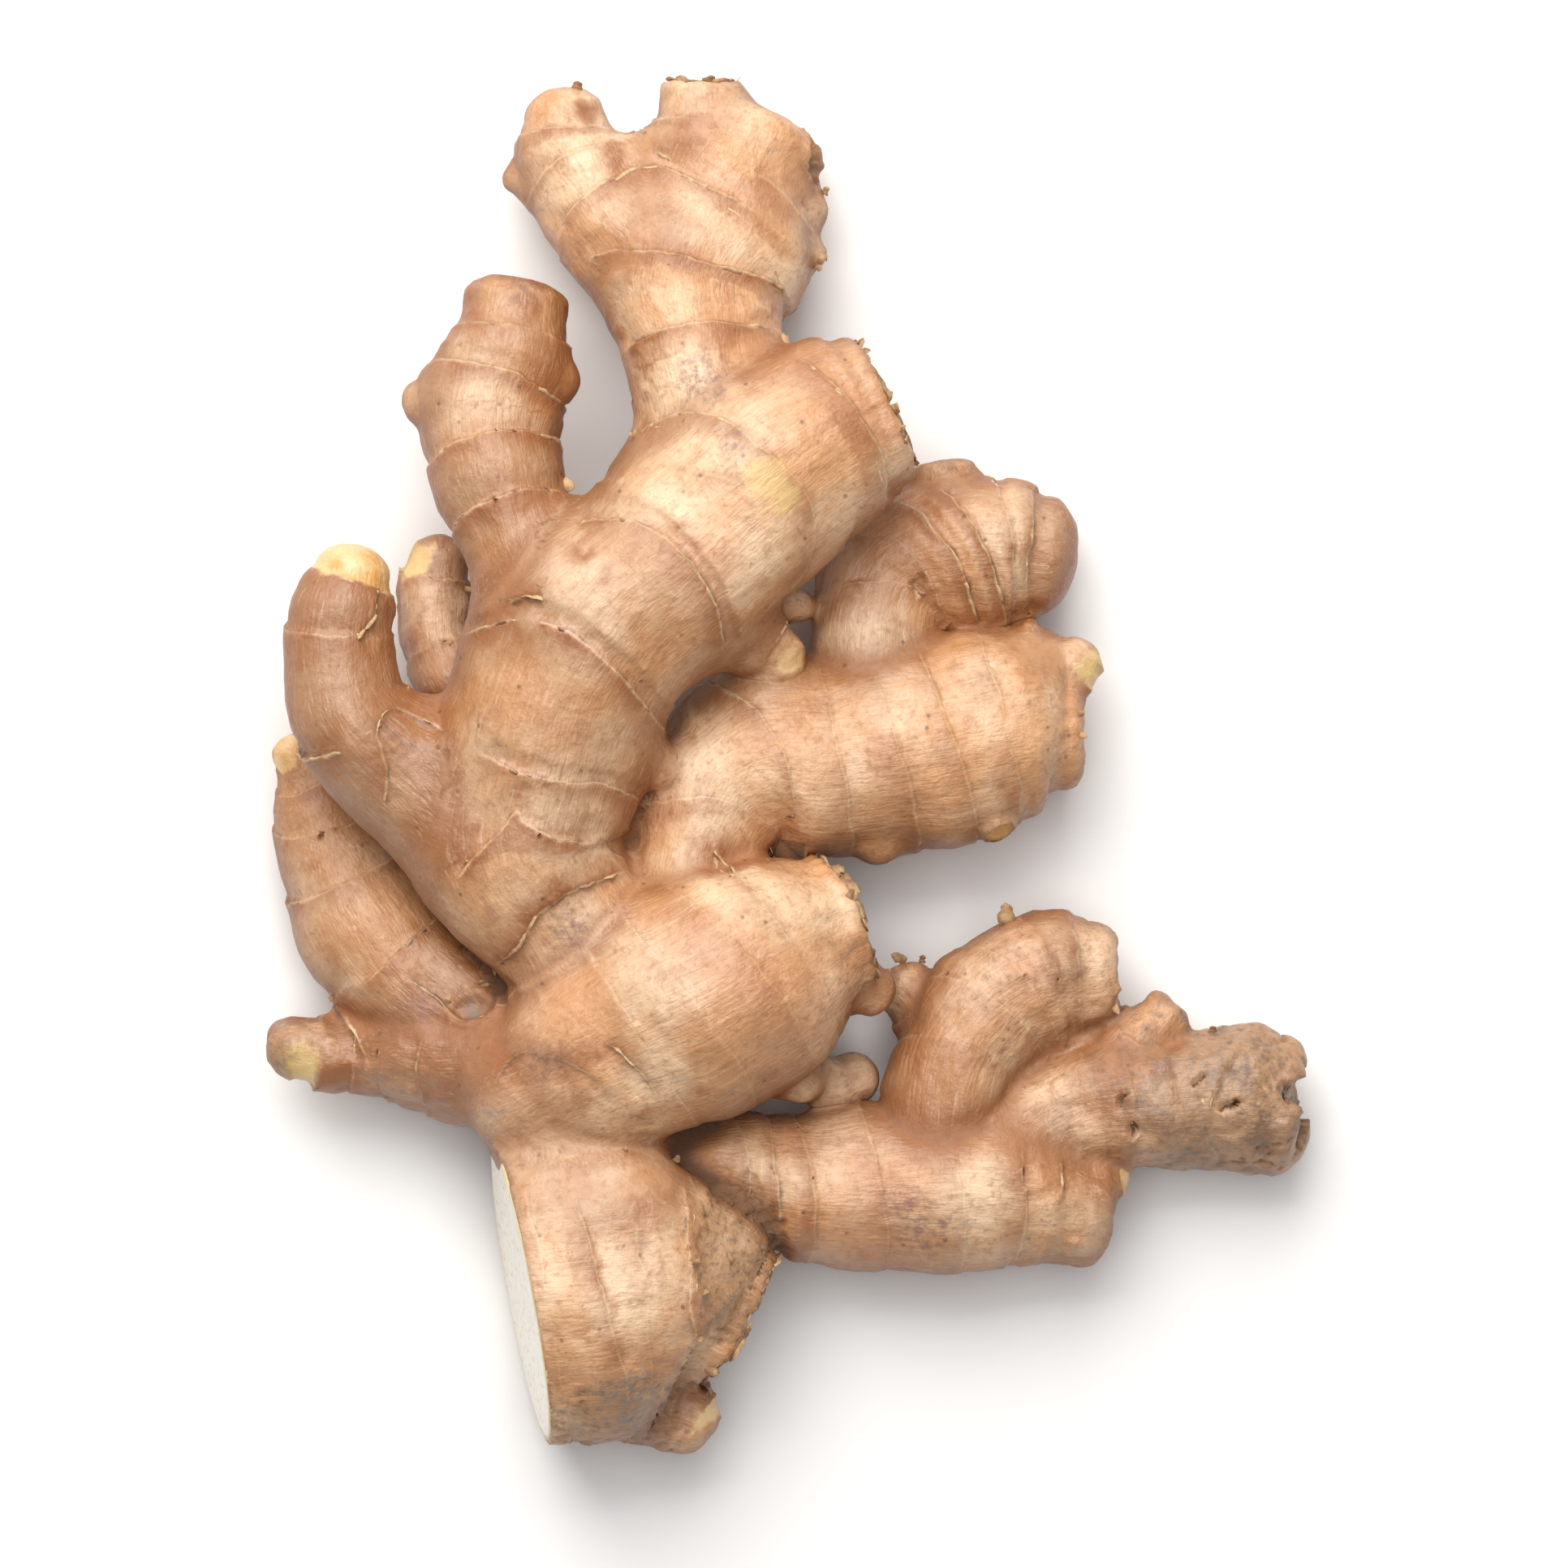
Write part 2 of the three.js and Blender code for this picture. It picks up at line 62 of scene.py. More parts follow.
# Each finger: stations [x, y, z, radius] of its centre line, rings as station numbers, lean of the rings
# [right, top at the root, right, top at the tip], flat is height over width, tip is [height, squareness].
# edge is how strong its rims are, rough how wrinkled it is, ruff how crimped its end is, tan how brown its
# skin is, and age how grey and dry at the root and at the tip. scar is the torn share of its end, and bud
# the ring past which it is a bud. joint is how it meets what was there before: width of the soft fillet, and
# share of a sharp groove, which is painted dark as shade. cut says that the knife goes through it, and drawn
# that folds show its rings.
usual = dict(joint=[2.2, 0], flat=0.95, lean=[0, 0, 0, 0], edge=0.7, rough=1, ruff=0.3, tan=0, age=[0, 0],
             scar=0, cut=False, drawn=False, bud=-1)
fingers = [
    dict(name="heart", joint=[3.5, 0.2], flat=0.92, rings=[0.7, 1.25, 1.75, 2.35, 2.95, 3.5],
         lean=[0.1, 0.1, 0.2, 0.2], tip=[0.3, 4], scar=0.82, edge=0.5, rough=0.9, ruff=1.0,
         line=[[-37.5, -49.5, 22, 12.8], [-26, -42.5, 25, 17.5], [-12.5, -36, 27, 19],
               [-1.5, -29.6, 26, 16.5], [7.2, -25.5, 24, 11.5]]),
    dict(name="trunk", joint=[4.5, 0.3], flat=0.9, rings=[1.9, 3, 4.5, 5.6, 7, 7.8, 8.5],
         lean=[0, 0, 0, 0.6], tip=[0.3, 4], scar=0.8, drawn=True, edge=0.85, rough=0.9, ruff=0.5, tan=0.15,
         line=[[-29, -34, 23, 11], [-34, -25, 25, 13.3], [-40.3, -13, 26.5, 16.1], [-37.5, 0.5, 29, 16],
               [-33.5, 12.5, 31, 16.3], [-25.5, 23.2, 33, 16.4], [-13, 34.2, 34, 15.7],
               [-1, 44.6, 33, 15.6], [6.8, 50.3, 31, 14.6], [12.3, 53, 30, 12]]),
    dict(name="crown", joint=[5, 0], flat=0.92, rings=[1.1, 2.3, 3.3, 4.2, 5.1], lean=[0, 0.3, -0.6, 0.2],
         tip=[0.5, 3], edge=1, drawn=True,
         line=[[-15, 40, 31, 10.5], [-12.5, 52.5, 28, 10.9], [-13, 63.5, 24, 12.3], [-13.6, 71, 20, 13.7],
               [-11.2, 80, 14.2, 16.2], [-8, 89, 13.5, 14.3], [-4.6, 95.2, 13.5, 11]]),
    dict(name="crown_stub", joint=[4, 0], rings=[1.1], tip=[0.4, 3.5], scar=0.75,
         line=[[-12, 90, 14, 7.6], [-12.8, 98.5, 15, 7.2], [-12.8, 103, 15, 6.7]]),
    dict(name="crown_thumb", joint=[7, 0], rings=[0.9, 1.7, 2.5], lean=[0, 0.2, 0, 0.2], tip=[0.8, 2],
         rough=1.3,
         line=[[-17.5, 75, 18, 11], [-26.8, 85, 14, 11.2], [-32.3, 93, 12.5, 9.7], [-33.7, 99.8, 12, 6.3]]),
    dict(name="first_finger", joint=[6, 0], rings=[1.4, 2.3, 3.4, 4.3], lean=[0, 0.2, 0, 0.2],
         tip=[0.65, 3], edge=1, rough=1.1, tan=0.45,
         line=[[-34, 20, 31, 12], [-40.3, 32.5, 30, 9.3], [-43.8, 43, 28, 10.4], [-45.2, 53, 26, 11.1],
               [-42.9, 62.5, 25, 9.7], [-42, 68.7, 24, 8.5]]),
    dict(name="second_finger", joint=[7, 0], rings=[1.9, 3.3, 4.7], lean=[0, -0.15, 0, -0.15],
         tip=[0.75, 2], edge=0.9, bud=2, tan=0.95,
         line=[[-50, -9, 27, 10.6], [-59, -1.5, 28, 11], [-66.8, 7.5, 30, 10], [-68.2, 17.5, 31, 8.2],
               [-67.4, 25, 31, 7.6], [-66.4, 29, 31, 6.2]]),
    dict(name="hidden_finger", joint=[2, 0.9], rings=[1, 1.8, 2.6], lean=[0, 0.1, 0, 0.1], tip=[1, 2],
         rough=1.4, age=[0.3, 0.1], tan=0.65,
         line=[[-45, 3, 22, 7], [-53, 16, 15, 6.3], [-54.3, 25, 13, 6], [-53.5, 30.7, 13, 4.8]]),
    dict(name="low_finger", joint=[1.6, 1], flat=0.92, rings=[1.3, 2.5, 3.5, 4.4], lean=[0, -0.2, 0, -0.2],
         tip=[1, 2], tan=0.6,
         line=[[-42, -43.5, 19, 9.4], [-57.2, -33.3, 12.3, 12.2], [-65.3, -22.5, 10.3, 11.8],
               [-69.8, -13, 9.5, 9], [-72.8, -4.5, 11, 6.2], [-76, 1, 13, 3.4]]),
    dict(name="side_finger", joint=[3, 0.3], rings=[1.4, 2.4, 3.3, 4.2], tip=[1, 2], rough=1.8,
         age=[0.15, 0.45], tan=0.8,
         line=[[-40, -45.5, 20, 11.3], [-50.5, -45.5, 16, 10.6], [-58.5, -45, 14, 9], [-65, -45, 13, 7],
               [-71, -44.5, 13.5, 5.8], [-76, -44, 14.5, 4.5]]),
    dict(name="foot", flat=0.82, rings=[0.75, 1.3, 1.85, 2.6], lean=[0.15, 0.1, 0.1, 0.1], tip=[0.3, 4],
         scar=0.82, cut=True, edge=0.5, rough=1.1, ruff=1.2,
         line=[[-51, -83.5, 18.5, 20], [-33.5, -82, 19, 23.5], [-22.5, -80.8, 19, 22], [-14, -81.5, 18, 18],
               [-9.7, -84, 17, 13.5]]),
    dict(name="foot_neck", joint=[7, 0], flat=0.92, rings=[0.5, 1.2], lean=[0, 0.3, 0, 0.3], tip=[0.6, 2],
         cut=True, edge=0.15,
         line=[[-35, -46.5, 22, 11.3], [-33.5, -58, 20, 12.5], [-30.5, -69, 19, 17]]),
    dict(name="toe", joint=[5, 0.2], rings=[1.2], lean=[0, 0.1, 0, 0.1], tip=[1, 2], tan=0.5,
         age=[0.3, 0.1],
         line=[[-26, -94, 16, 7.5], [-20, -99.5, 14, 6.9], [-15.5, -101.5, 13, 5.3]]),
    dict(name="arm", joint=[1.8, 0.9], rings=[1.3, 1.75, 2.2, 2.9, 3.7, 4.5, 5.3], lean=[0.3, 0.15, 0, 0.1],
         tip=[0.55, 2.3], scar=0.42, edge=0.65, ruff=0.6, tan=0.15,
         line=[[-21, -64.5, 18, 8.1], [-11, -64, 16, 9.5], [-1, -65.5, 14.5, 11.3], [14, -66, 13.2, 12.9],
               [29, -65.5, 12.7, 13.5], [39, -66.5, 12.5, 12], [46.5, -68.4, 12.5, 9]]),
    dict(name="arm_branch", joint=[2.5, 0.5], rings=[0.9, 1.7, 2.3, 3, 3.6], lean=[0, 0.25, 0.4, 0.2],
         tip=[0.6, 2.3], scar=0.55, rough=1.3, tan=0.4, age=[0, 0.3], ruff=0.6,
         line=[[24.5, -56.5, 14, 10], [27, -45.5, 13, 10.3], [33, -37.5, 12.5, 11], [40.5, -33.5, 12, 10.7],
               [47.4, -33, 12, 8.4]]),
    dict(name="arm_bump", joint=[2, 0.5], rings=[1.2], tip=[0.8, 2], rough=1.6, age=[0.1, 0.5],
         line=[[26, -44, 11, 7.5], [21, -38, 10, 6.3], [19, -36, 10, 5]]),
    dict(name="old_end", joint=[2.5, 0.3], rings=[1.3, 1.8, 2.3, 2.8, 3.4, 4.1], lean=[0, 0.1, 0, 0.1],
         tip=[0.4, 3], scar=0.62, edge=0.35, rough=2.0, tan=0.4, age=[0.1, 1.0],
         line=[[34, -61, 13, 10], [44, -55, 12.5, 9.8], [54, -53, 12, 10.5], [64, -52.5, 11, 11.2],
               [72, -52.8, 10.5, 11.7], [76, -53.3, 10.5, 10]]),
    dict(name="old_branch", joint=[2.5, 0.3], rings=[1], tip=[0.7, 3], rough=1.8, age=[0.4, 0.5],
         line=[[51, -51, 13, 7.3], [55, -43.5, 13, 5.9], [58.4, -39.8, 13, 4.6]]),
    dict(name="wing", joint=[3, 0.3], rings=[1.5, 2.9, 3.8, 4.7, 5.5, 6.3, 7.2], lean=[0.25, 0.15, 0.05, 0],
         tip=[0.4, 2.6], scar=0.55, edge=0.6, rough=1.1, ruff=0.6,
         line=[[-15, -28, 24, 10.6], [-14.2, -15.5, 22, 9.6], [-10, -4.6, 19.5, 12.9],
               [-3.5, 0.2, 17.5, 15.1], [8, 1, 16, 15.8], [19, 2.5, 15.5, 16.6], [29.5, 4.5, 15.2, 16],
               [38, 6, 14.5, 13.8], [42.3, 6, 14, 10.3]]),
    dict(name="wing_branch", joint=[3, 0.4], rings=[1.3, 2.1, 2.7, 3.3, 4, 4.7], lean=[0.2, 0.2, 0.6, 0.2],
         tip=[0.55, 2.5], edge=0.95, tan=0.45,
         line=[[14, 11, 16, 10.6], [14, 21.5, 14.5, 10.5], [17, 29, 13, 11], [25.5, 31.8, 12.3, 12.3],
               [34, 32.3, 12, 11.9], [38.9, 31.7, 12, 9.6]]),
    dict(name="wing_stub", joint=[3, 0.2], rings=[1.1], tip=[0.5, 3], age=[0.2, 0.5],
         line=[[25.5, 36, 13, 6.3], [25.3, 41.5, 13, 5.5], [24.9, 44.3, 13, 5.2]]),
    dict(name="trunk_spur", joint=[4, 0], flat=1, rings=[1.3], tip=[0.9, 2], edge=0.9,
         line=[[-11, 22.5, 30, 9.4], [-4, 18.5, 27, 5.6], [-1, 16.5, 26, 3.8]]),
]

# Nubs and buds: name, bud colour or not, then the stations.
nubs = [
    ["heart_nub", 0, [-3, -46.5, 20, 4.8], [2.5, -50, 18, 3]],
    ["heart_bud", 0, [-1, -45.5, 17, 4], [6, -49.5, 13, 4], [10.5, -48.5, 11, 3.5]],
    ["heart_knob", 0, [8, -33.5, 22, 6], [13.3, -35.7, 21, 4.3]],
    ["trunk_bud", 0, [-6, 28, 26, 4.5], [-2, 24.5, 22, 3.5], [2, 24, 20, 2.8]],
    ["trunk_nub", 0, [-22.5, 1.5, 29, 3.8], [-19.5, -0.5, 28, 2.5]],
    ["end_bud", 1, [12, 42.5, 30, 3.8], [14.5, 41, 29, 2.3]],
    ["wing_nub", 0, [14, -8, 18, 5.6], [14.5, -13, 19, 3.5]],
    ["wing_low_bud", 0, [31, -5.6, 18, 4.4], [32.2, -8.6, 20.4, 2.6]],
    ["wing_top_bud", 0, [39.5, 14, 16, 7.8], [44.1, 14.9, 17, 4.7]],
    ["crown_nub", 0, [2, 79, 15, 3.8], [5, 78.5, 15, 2]],
    ["crown_bump", 0, [1, 86, 14, 5.5], [4, 84.8, 14, 3.6]],
    ["thumb_nub", 0, [-38.5, 89, 12, 3.8], [-41.5, 90, 12, 2.3]],
    ["first_nub_left", 0, [-53, 55, 26, 5.6], [-56, 55, 26, 3]],
    ["first_nub_right", 0, [-37, 58.5, 26, 4.4], [-34.5, 58.5, 26, 2.5]],
    ["branch_nub", 0, [43, -42, 12, 3.8], [46, -43, 12, 2]],
    ["arm_end_bud", 1, [48, -64.5, 14, 4.5], [50.5, -64.5, 14, 2.8]],
    ["foot_bud", 1, [-30.5, -102, 15, 3.5], [-30, -104, 15, 2.6]],
    ["old_knob_high", 0, [74, -46.5, 11, 5.6], [77.4, -45.8, 11, 3.5]],
    ["old_knob_low", 0, [75, -58, 10, 6.3], [77.5, -58, 10, 3.6]],
]
for name, isBud, *line in nubs:
    fingers.append(dict(
        name=name, line=line, joint=[4 if name == "trunk_nub" else 2.4, 0], flat=1, rings=[], tip=[0.9, 2],
        bud=isBud - 1, age=[0.9, 0.9] if name.startswith("old") else [0, 0.15],
    ))

# Torn edges and folds of the outer skin on the upper side: strength, then points [x, y]. The flap that lies
# higher is on the left of the path.
folds = [
    [0.95, [-18.2, 2.9], [-19.5, 5.6], [-22.2, 9.5], [-26, 13.5], [-30.4, 17.6], [-34.8, 20.4],
     [-41, 21.5], [-46, 20.4], [-50.6, 18.2]],
    [1, [-9.8, 16.6], [-10, 20.4], [-11.6, 26], [-16, 31.6], [-22.2, 36], [-29.1, 37.2], [-32.5, 36]],
    [0.8, [-20.2, -7], [-22.2, -5.9], [-27.2, -3.8], [-33.5, -3.4], [-41, -1.5], [-47.5, 1.6]],
    [0.55, [-1, 24.1], [2.1, 27.2], [4.1, 31], [4.5, 37.2], [2.1, 42], [-3.5, 47.2], [-8.5, 50.9],
     [-14.8, 52.9], [-21, 51]],
    [0.6, [15, 39.1], [14.8, 43.5], [13.4, 48.5], [9, 56], [4, 60.4], [0.9, 61.5]],
    [0.9, [-8.5, 51], [-11, 52.2], [-14.8, 53.2], [-19.8, 52.2], [-23.1, 49.8]],
    [1.1, [-1, 65], [-3.5, 66.6], [-8.5, 67.1], [-14.8, 66.6], [-21, 64.8], [-25.4, 62.6]],
    [0.7, [0.9, 69.8], [-1.2, 72.8], [-9.8, 76], [-18.5, 77.9], [-26, 78.2], [-30.8, 76.8]],
    [0.8, [5.5, 76.5], [2.1, 80], [-4.8, 84.5], [-13.5, 89], [-20.8, 91.8], [-27.9, 89], [-32.8, 85],
     [-35, 80.5]],
    [0.5, [6.2, 80.5], [2.5, 84.5], [-1.6, 88.8], [-5, 90.8]],
    [0.7, [-61.8, -8.2], [-60.9, -1.5], [-62.2, 4.1], [-60.1, 8.2], [-55.4, 6.8], [-50.8, 3.8]],
    [0.8, [-66, 18.6], [-62.8, 21.8], [-62.2, 27]],
    [1, [-42.2, 23.9], [-39.5, 24.8], [-36.4, 24.2]],
    [1, [-24, -15.5], [-28.5, -12.9], [-34.8, -12], [-39.8, -9.5], [-41, -7.8], [-44.1, -11.5],
     [-47.5, -14.6], [-51, -19.2]],
    [0.9, [-45.5, -32.2], [-41, -28.5], [-38.2, -24], [-33.5, -20.4], [-27.9, -18], [-24.2, -16.6]],
    [0.7, [-44.9, -50.2], [-42.2, -45.8], [-39.1, -44.4], [-34.5, -45.5], [-28.9, -49], [-23.8, -53],
     [-19.5, -56]],
    [0.5, [-27.5, -43], [-22.9, -47.2], [-19.1, -52]],
    [0.5, [67.4, -63.8], [64.9, -58.4], [65.6, -51.5], [67.8, -46.8], [71.2, -43.2]],
    [1, [-11, -13.9], [-9.2, -14.9], [-7.4, -17.5]],
    [1, [-70.8, -37.2], [-67.2, -40.5], [-64.5, -46]],
    [1.1, [-41, -34.5], [-45.2, -37.2], [-50.2, -39.5], [-54, -36.2], [-58.5, -33.2]],
    [0.6, [-15.8, -64.2], [-15.2, -71.5], [-14.5, -77.8], [-14.8, -84], [-13.2, -90.2]],
    [0.7, [35.5, -77.8], [36.8, -71.5], [36.8, -65.2]],
]

# Single features: name, middle [x, y, z], half sizes, turn of the first size in degrees, dent (negative for a
# knob), height of the lip round it, and shares of torn fibre and of bud.
spots = [
    ["crown_hole", [4.6, 93.4, 15], [2.2, 4.4, 5], 12, 3.2, 0.5, 1, 0],
    ["low_bud", [32.6, -9.6, 20.6], [2.3, 1.7, 2.6], 20, -0.5, 0.7, 0, 1],
    ["branch_scar", [20.5, 27.2, 22], [1.0, 2.1, 4], -15, 0.5, 0.45, 0.12, 0],
    ["branch_knob", [37.8, 21, 18], [1.5, 1.5, 3], 0, -1.0, 0.2, 0, 0],
    ["arm_hollow", [44.6, -73.6, 15], [2.4, 1.9, 4], 20, 1.6, 0.6, 0.8, 0],
    ["arm_scar", [51.3, -69, 12], [1.5, 3, 4], 0, 0.8, 0.5, 0.8, 0],
    ["branch_end", [51, -36.5, 13], [1.8, 2.8, 4], 0, 0.6, 0.4, 0.7, 0],
    ["stem_scar", [-48, -37.8, 22], [4.2, 2.6, 6], 20, 0.4, 0.5, 0.35, 0],
    ["old_slit_one", [51.9, -51.9, 23], [0.4, 1.5, 4], -20, 0.9, 0.3, 1, 0],
    ["old_slit_two", [53.7, -56.8, 22], [0.4, 1.4, 4], -10, 0.9, 0.3, 1, 0],
    ["old_slit_three", [63.4, -49, 22], [0.35, 1.6, 4], -50, 0.9, 0.3, 1, 0],
    ["old_slit_four", [68.5, -53, 22], [0.35, 2.0, 4], -60, 0.9, 0.3, 1, 0],
    ["old_hollow", [78, -51.2, 14], [3, 2.8, 7], 0, 2.2, 0.3, 0.8, 0],
    ["spur_bud", [0.2, 15.6, 27], [2.6, 2.2, 4], 30, 0.1, 0.3, 0, 1],
    ["low_finger_bud", [-77.1, 1.4, 14], [2.2, 3.2, 7], -10, -0.1, 0.2, 0, 0.9],
    ["side_yellow", [-74.3, -46.4, 14], [2.6, 3.6, 6], 20, 0.1, 0.2, 0, 0.8],
    ["hidden_yellow", [-56.2, 31, 14], [1.8, 3.6, 6], -35, 0.1, 0.1, 0, 0.7],
    ["top_bud", [46.9, 13.6, 17], [1.3, 2.9, 5], 15, -0.2, 0.3, 0, 0.9],
    ["foot_papery_side", [-7.5, -77, 20], [7.5, 14, 24], -4, -0.2, 0, 0.4, 0],
    ["foot_rough_edge", [-25.5, -100, 14], [12, 8, 26], 2, -0.6, 0, 0.38, 0],
    ["toe_bud", [-12.6, -101.4, 13], [4.4, 1.5, 6], 48, -0.3, 0.4, 0, 0.9],
]

# The knife's cut through the foot, as a plane that the skin stops at.
knife = dict(normal=np.array([-0.975, -0.18, 0.13]), point=np.array([-41.2, -81.0, 18.0]))
knife["normal"] /= np.linalg.norm(knife["normal"])

# Heights of the skin's own relief and their widths, in millimetres. A pair is where a step starts and ends.
relief = dict(
    lumpHeight=0.45, lumpPitch=21, lumpWaves=[[1, 0.6, 0, 1.3], [0, 1, -0.5, 0.4], [-0.7, 0, 0.8, 2.1]],
    knobHeight=0.4, knobPitch=10.0,  # shallow dents and swellings
    dentHeight=0.21, dentPitch=3.4,
    wrinkleHeight=0.24, wrinkleSize=[2.1, 2.1, 10.0],  # furrows that run along a finger
    wrinkleShare=0.6, wrinklePitch=14, calmReach=1.5,  # how furrows come and go, and fade where fingers meet
    rimHeight=0.52, rimRise=2.3, rimDrop=0.42, rimFace=0.45, rimRecover=2.8,
    ruffHeight=0.55, ruffSize=[1.7, 1.7, 14.0], ruffReach=9.0,  # crimped skin at a torn end
    waveHeight=0.55, wavePitch=7.0, tearHeight=0.3, tearPitch=1.9,  # how a ring wanders
    dishDepth=1.8, dishRough=0.8, fibreSize=[1.6, 1.6, 3.0],
    crackHeight=0.6, crackPitch=5.0, crackWander=0.4, crackWidth=0.08, crackAge=(0.5, 0.9),
    grooveWidth=2.4, grooveDepth=1.5, grooveLevel=(1.2, 0.5),  # a sharp groove where two fingers meet
    valleyDepth=0.4, valleyWidth=3.2,  # the skin sinks a little towards each ring
    budSmooth=0.75, budSunk=0.25,
    fingerShift=7.3,  # moves each finger's grain, so that no two look alike
)

# A lattice of random slopes for the noise: how a corner's numbers are mixed into the row of its slope.
lattice = dict(slopes=256, steps=np.array([1619, 31337, 6971]), seedStep=1013, shift=13, squared=60493,
               plain=19990303, added=1376312589, drop=8, gain=1.6, layered=1.4)


# Vectors of length one: each over its length, which counts as least when it is shorter.
def unit(vectors, least=0.0):
    return vectors / np.maximum(np.linalg.norm(vectors, axis=1), least)[:, None]


slopes = unit(np.random.default_rng(hand["seed"]).normal(size=(lattice["slopes"], 3)))


# Gradient noise: each corner of a unit lattice has a fixed random slope, and the eight slopes round a point
# are blended with the fading weight 6t^5 - 15t^4 + 10t^3. The result runs from about -1 to 1. Each use below
# has a seed of its own.
def slopeNoise(points, seed=0):
    cell = np.floor(points).astype(np.int64)
    part = points - cell
    fade = part ** 3 * (part * (part * 6 - 15) + 10)
    total = np.zeros(len(points))
    for corner in np.ndindex(2, 2, 2):
        code = (cell + corner) @ lattice["steps"] + seed * lattice["seedStep"]
        code = (code >> lattice["shift"]) ^ code
        code = code * (code * code * lattice["squared"] + lattice["plain"]) + lattice["added"]
        slope = slopes[(code >> lattice["drop"]) % lattice["slopes"]]
        weight = np.prod(np.where(corner, fade, 1 - fade), axis=1)
        total += weight * ((part - corner) * slope).sum(1)
    return total * lattice["gain"]


# Several layers of the noise, each half as wide and half as high as the last.
def layeredNoise(points, seed=0, layers=3):
    return sum(slopeNoise(points * 2 ** n, seed + n) / 2 ** n for n in range(layers)) / lattice["layered"]


# The smooth step 3t^2 - 2t^3 from low to high.
def smoothStep(value, low, high):
    share = np.clip((value - low) / (high - low), 0, 1)
    return share * share * (3 - 2 * share)


# A curve through stations: between two of them it is the cubic whose slopes are half the span of their
# neighbours, with the first and last station mirrored outwards.
def smoothLine(stations, number):
    p = np.vstack([2 * stations[0] - stations[1], stations, 2 * stations[-1] - stations[-2]])
    row = np.minimum(number.astype(int), len(stations) - 2)
    t = (number - row)[:, None]
    a, b, c, d = (p[row + n] for n in range(4))
    squared, cubed = 2 * a - 5 * b + 4 * c - d, 3 * b - a - 3 * c + d
    return 0.5 * (2 * b + (c - a) * t + squared * t ** 2 + cubed * t ** 3)


# Length along a path at each of its points, as the sum of its straight pieces.
def lengthAlong(path):
    return np.concatenate([[0], np.cumsum(np.linalg.norm(np.diff(path, axis=0), axis=1))])


# The centre line in fine steps: length along it, and for each step the place, the directions along, right
# and top, the radius, and how fast the radius grows. Rings get their length and how far lean shifts them.
def growSpine(finger):
    stations = np.array(finger["line"], float)
    last = len(stations) - 1
    number = np.linspace(0, last, hand["spineSteps"] * last + 1)
    samples = smoothLine(stations, number)
    place, radius = samples[:, :3], samples[:, 3]
    length = lengthAlong(place)
    along = unit(np.gradient(place, length, axis=0))
    right = unit(np.cross(along, [0, 0, 1]))
    top = np.cross(right, along)
    taper = np.gradient(radius, length)
    rings = np.array(finger["rings"], float)
    ringRadius, ringLength = np.interp(rings, number, radius), np.interp(rings, number, length)
    fade = np.clip(np.minimum(ringLength, length[-1] - ringLength) / np.maximum(ringRadius, 1), 0, 1)
    rootRight, rootTop, tipRight, tipTop = finger["lean"]
    share = rings / last
    margin = radius.max() + hand["reach"]
    return dict(
        finger, length=length, total=length[-1], ringLength=ringLength, ringRadius=ringRadius,
        rows=np.hstack([place, along, right, top, radius[:, None], taper[:, None]]),
        shiftRight=(rootRight + (tipRight - rootRight) * share) * ringRadius * fade,
        shiftTop=(rootTop + (tipTop - rootTop) * share) * ringRadius * fade,
        low=place.min(0) - margin, high=place.max(0) + margin,
    )


spines = [growSpine(dict(usual, **finger)) for finger in fingers]
spineIsCut = np.array([spine["cut"] for spine in spines])
knifeFirst = np.argsort(~spineIsCut, kind="stable")  # the fingers that the knife goes through come first
lastCut = knifeFirst[spineIsCut.sum() - 1]
print("centre lines grown:", len(spines))


# Reads a spine at lengths along it, straight between two steps.
def readSpine(spine, length):
    row = np.clip(np.searchsorted(spine["length"], length, side="right") - 1, 0, len(spine["length"]) - 2)
    step = spine["length"][row + 1] - spine["length"][row]
    share = ((length - spine["length"][row]) / step)[:, None]
    rows = spine["rows"][row] * (1 - share) + spine["rows"][row + 1] * share
    return rows[:, :3], rows[:, 3:6], rows[:, 6:9], rows[:, 9:12], rows[:, 12], rows[:, 13]


# One finger's skin as a distance: (the section's size minus the radius) over the slope of that difference.
# The section's size is the ellipse size of (right, top), joined past an end with the reach past it by the
# end's squareness. Gives the distance, the outward direction and the finger's own coordinates.
def fingerDistance(spine, points):
    place = spine["rows"][:, :3]
    apart = (place ** 2).sum(1) - 2 * points @ place.T
    length = spine["length"][apart.argmin(1)]
    for _ in range(2):
        here, along, *_ = readSpine(spine, length)
        length = np.clip(length + ((points - here) * along).sum(1), 0, spine["total"])
    here, along, right, top, radius, taper = readSpine(spine, length)
    off = points - here
    past, u, v = ((off * axis).sum(1) for axis in (along, right, top))
    flat = spine["flat"]
    ring = np.maximum(np.sqrt(u ** 2 + (v / flat) ** 2), hand["small"])
    overTip = (length >= spine["total"] - hand["nothing"]) & (past > 0)
    overRoot = (length <= hand["nothing"]) & (past < 0)
    height, power = np.where(overTip, spine["tip"][0], 1.0), np.where(overTip, spine["tip"][1], 2.0)
    end = np.where(overTip | overRoot, np.abs(past), 0) / height
    size = (ring ** power + end ** power) ** (1 / power)
    across = u[:, None] * right + (v / flat ** 2)[:, None] * top
    side = ((ring / size) ** (power - 1) / ring)[:, None] * across
    ahead = (end / size) ** (power - 1) / height * np.sign(past) - np.where(end > 0, 0, taper)
    slope = side + ahead[:, None] * along
    steep = np.maximum(np.linalg.norm(slope, axis=1), hand["leastSlope"])
    own = np.stack([length + np.where(end > 0, past, 0), u, v / flat, radius, ring / radius], axis=1)
    return (size - radius) / steep, slope / steep[:, None], own


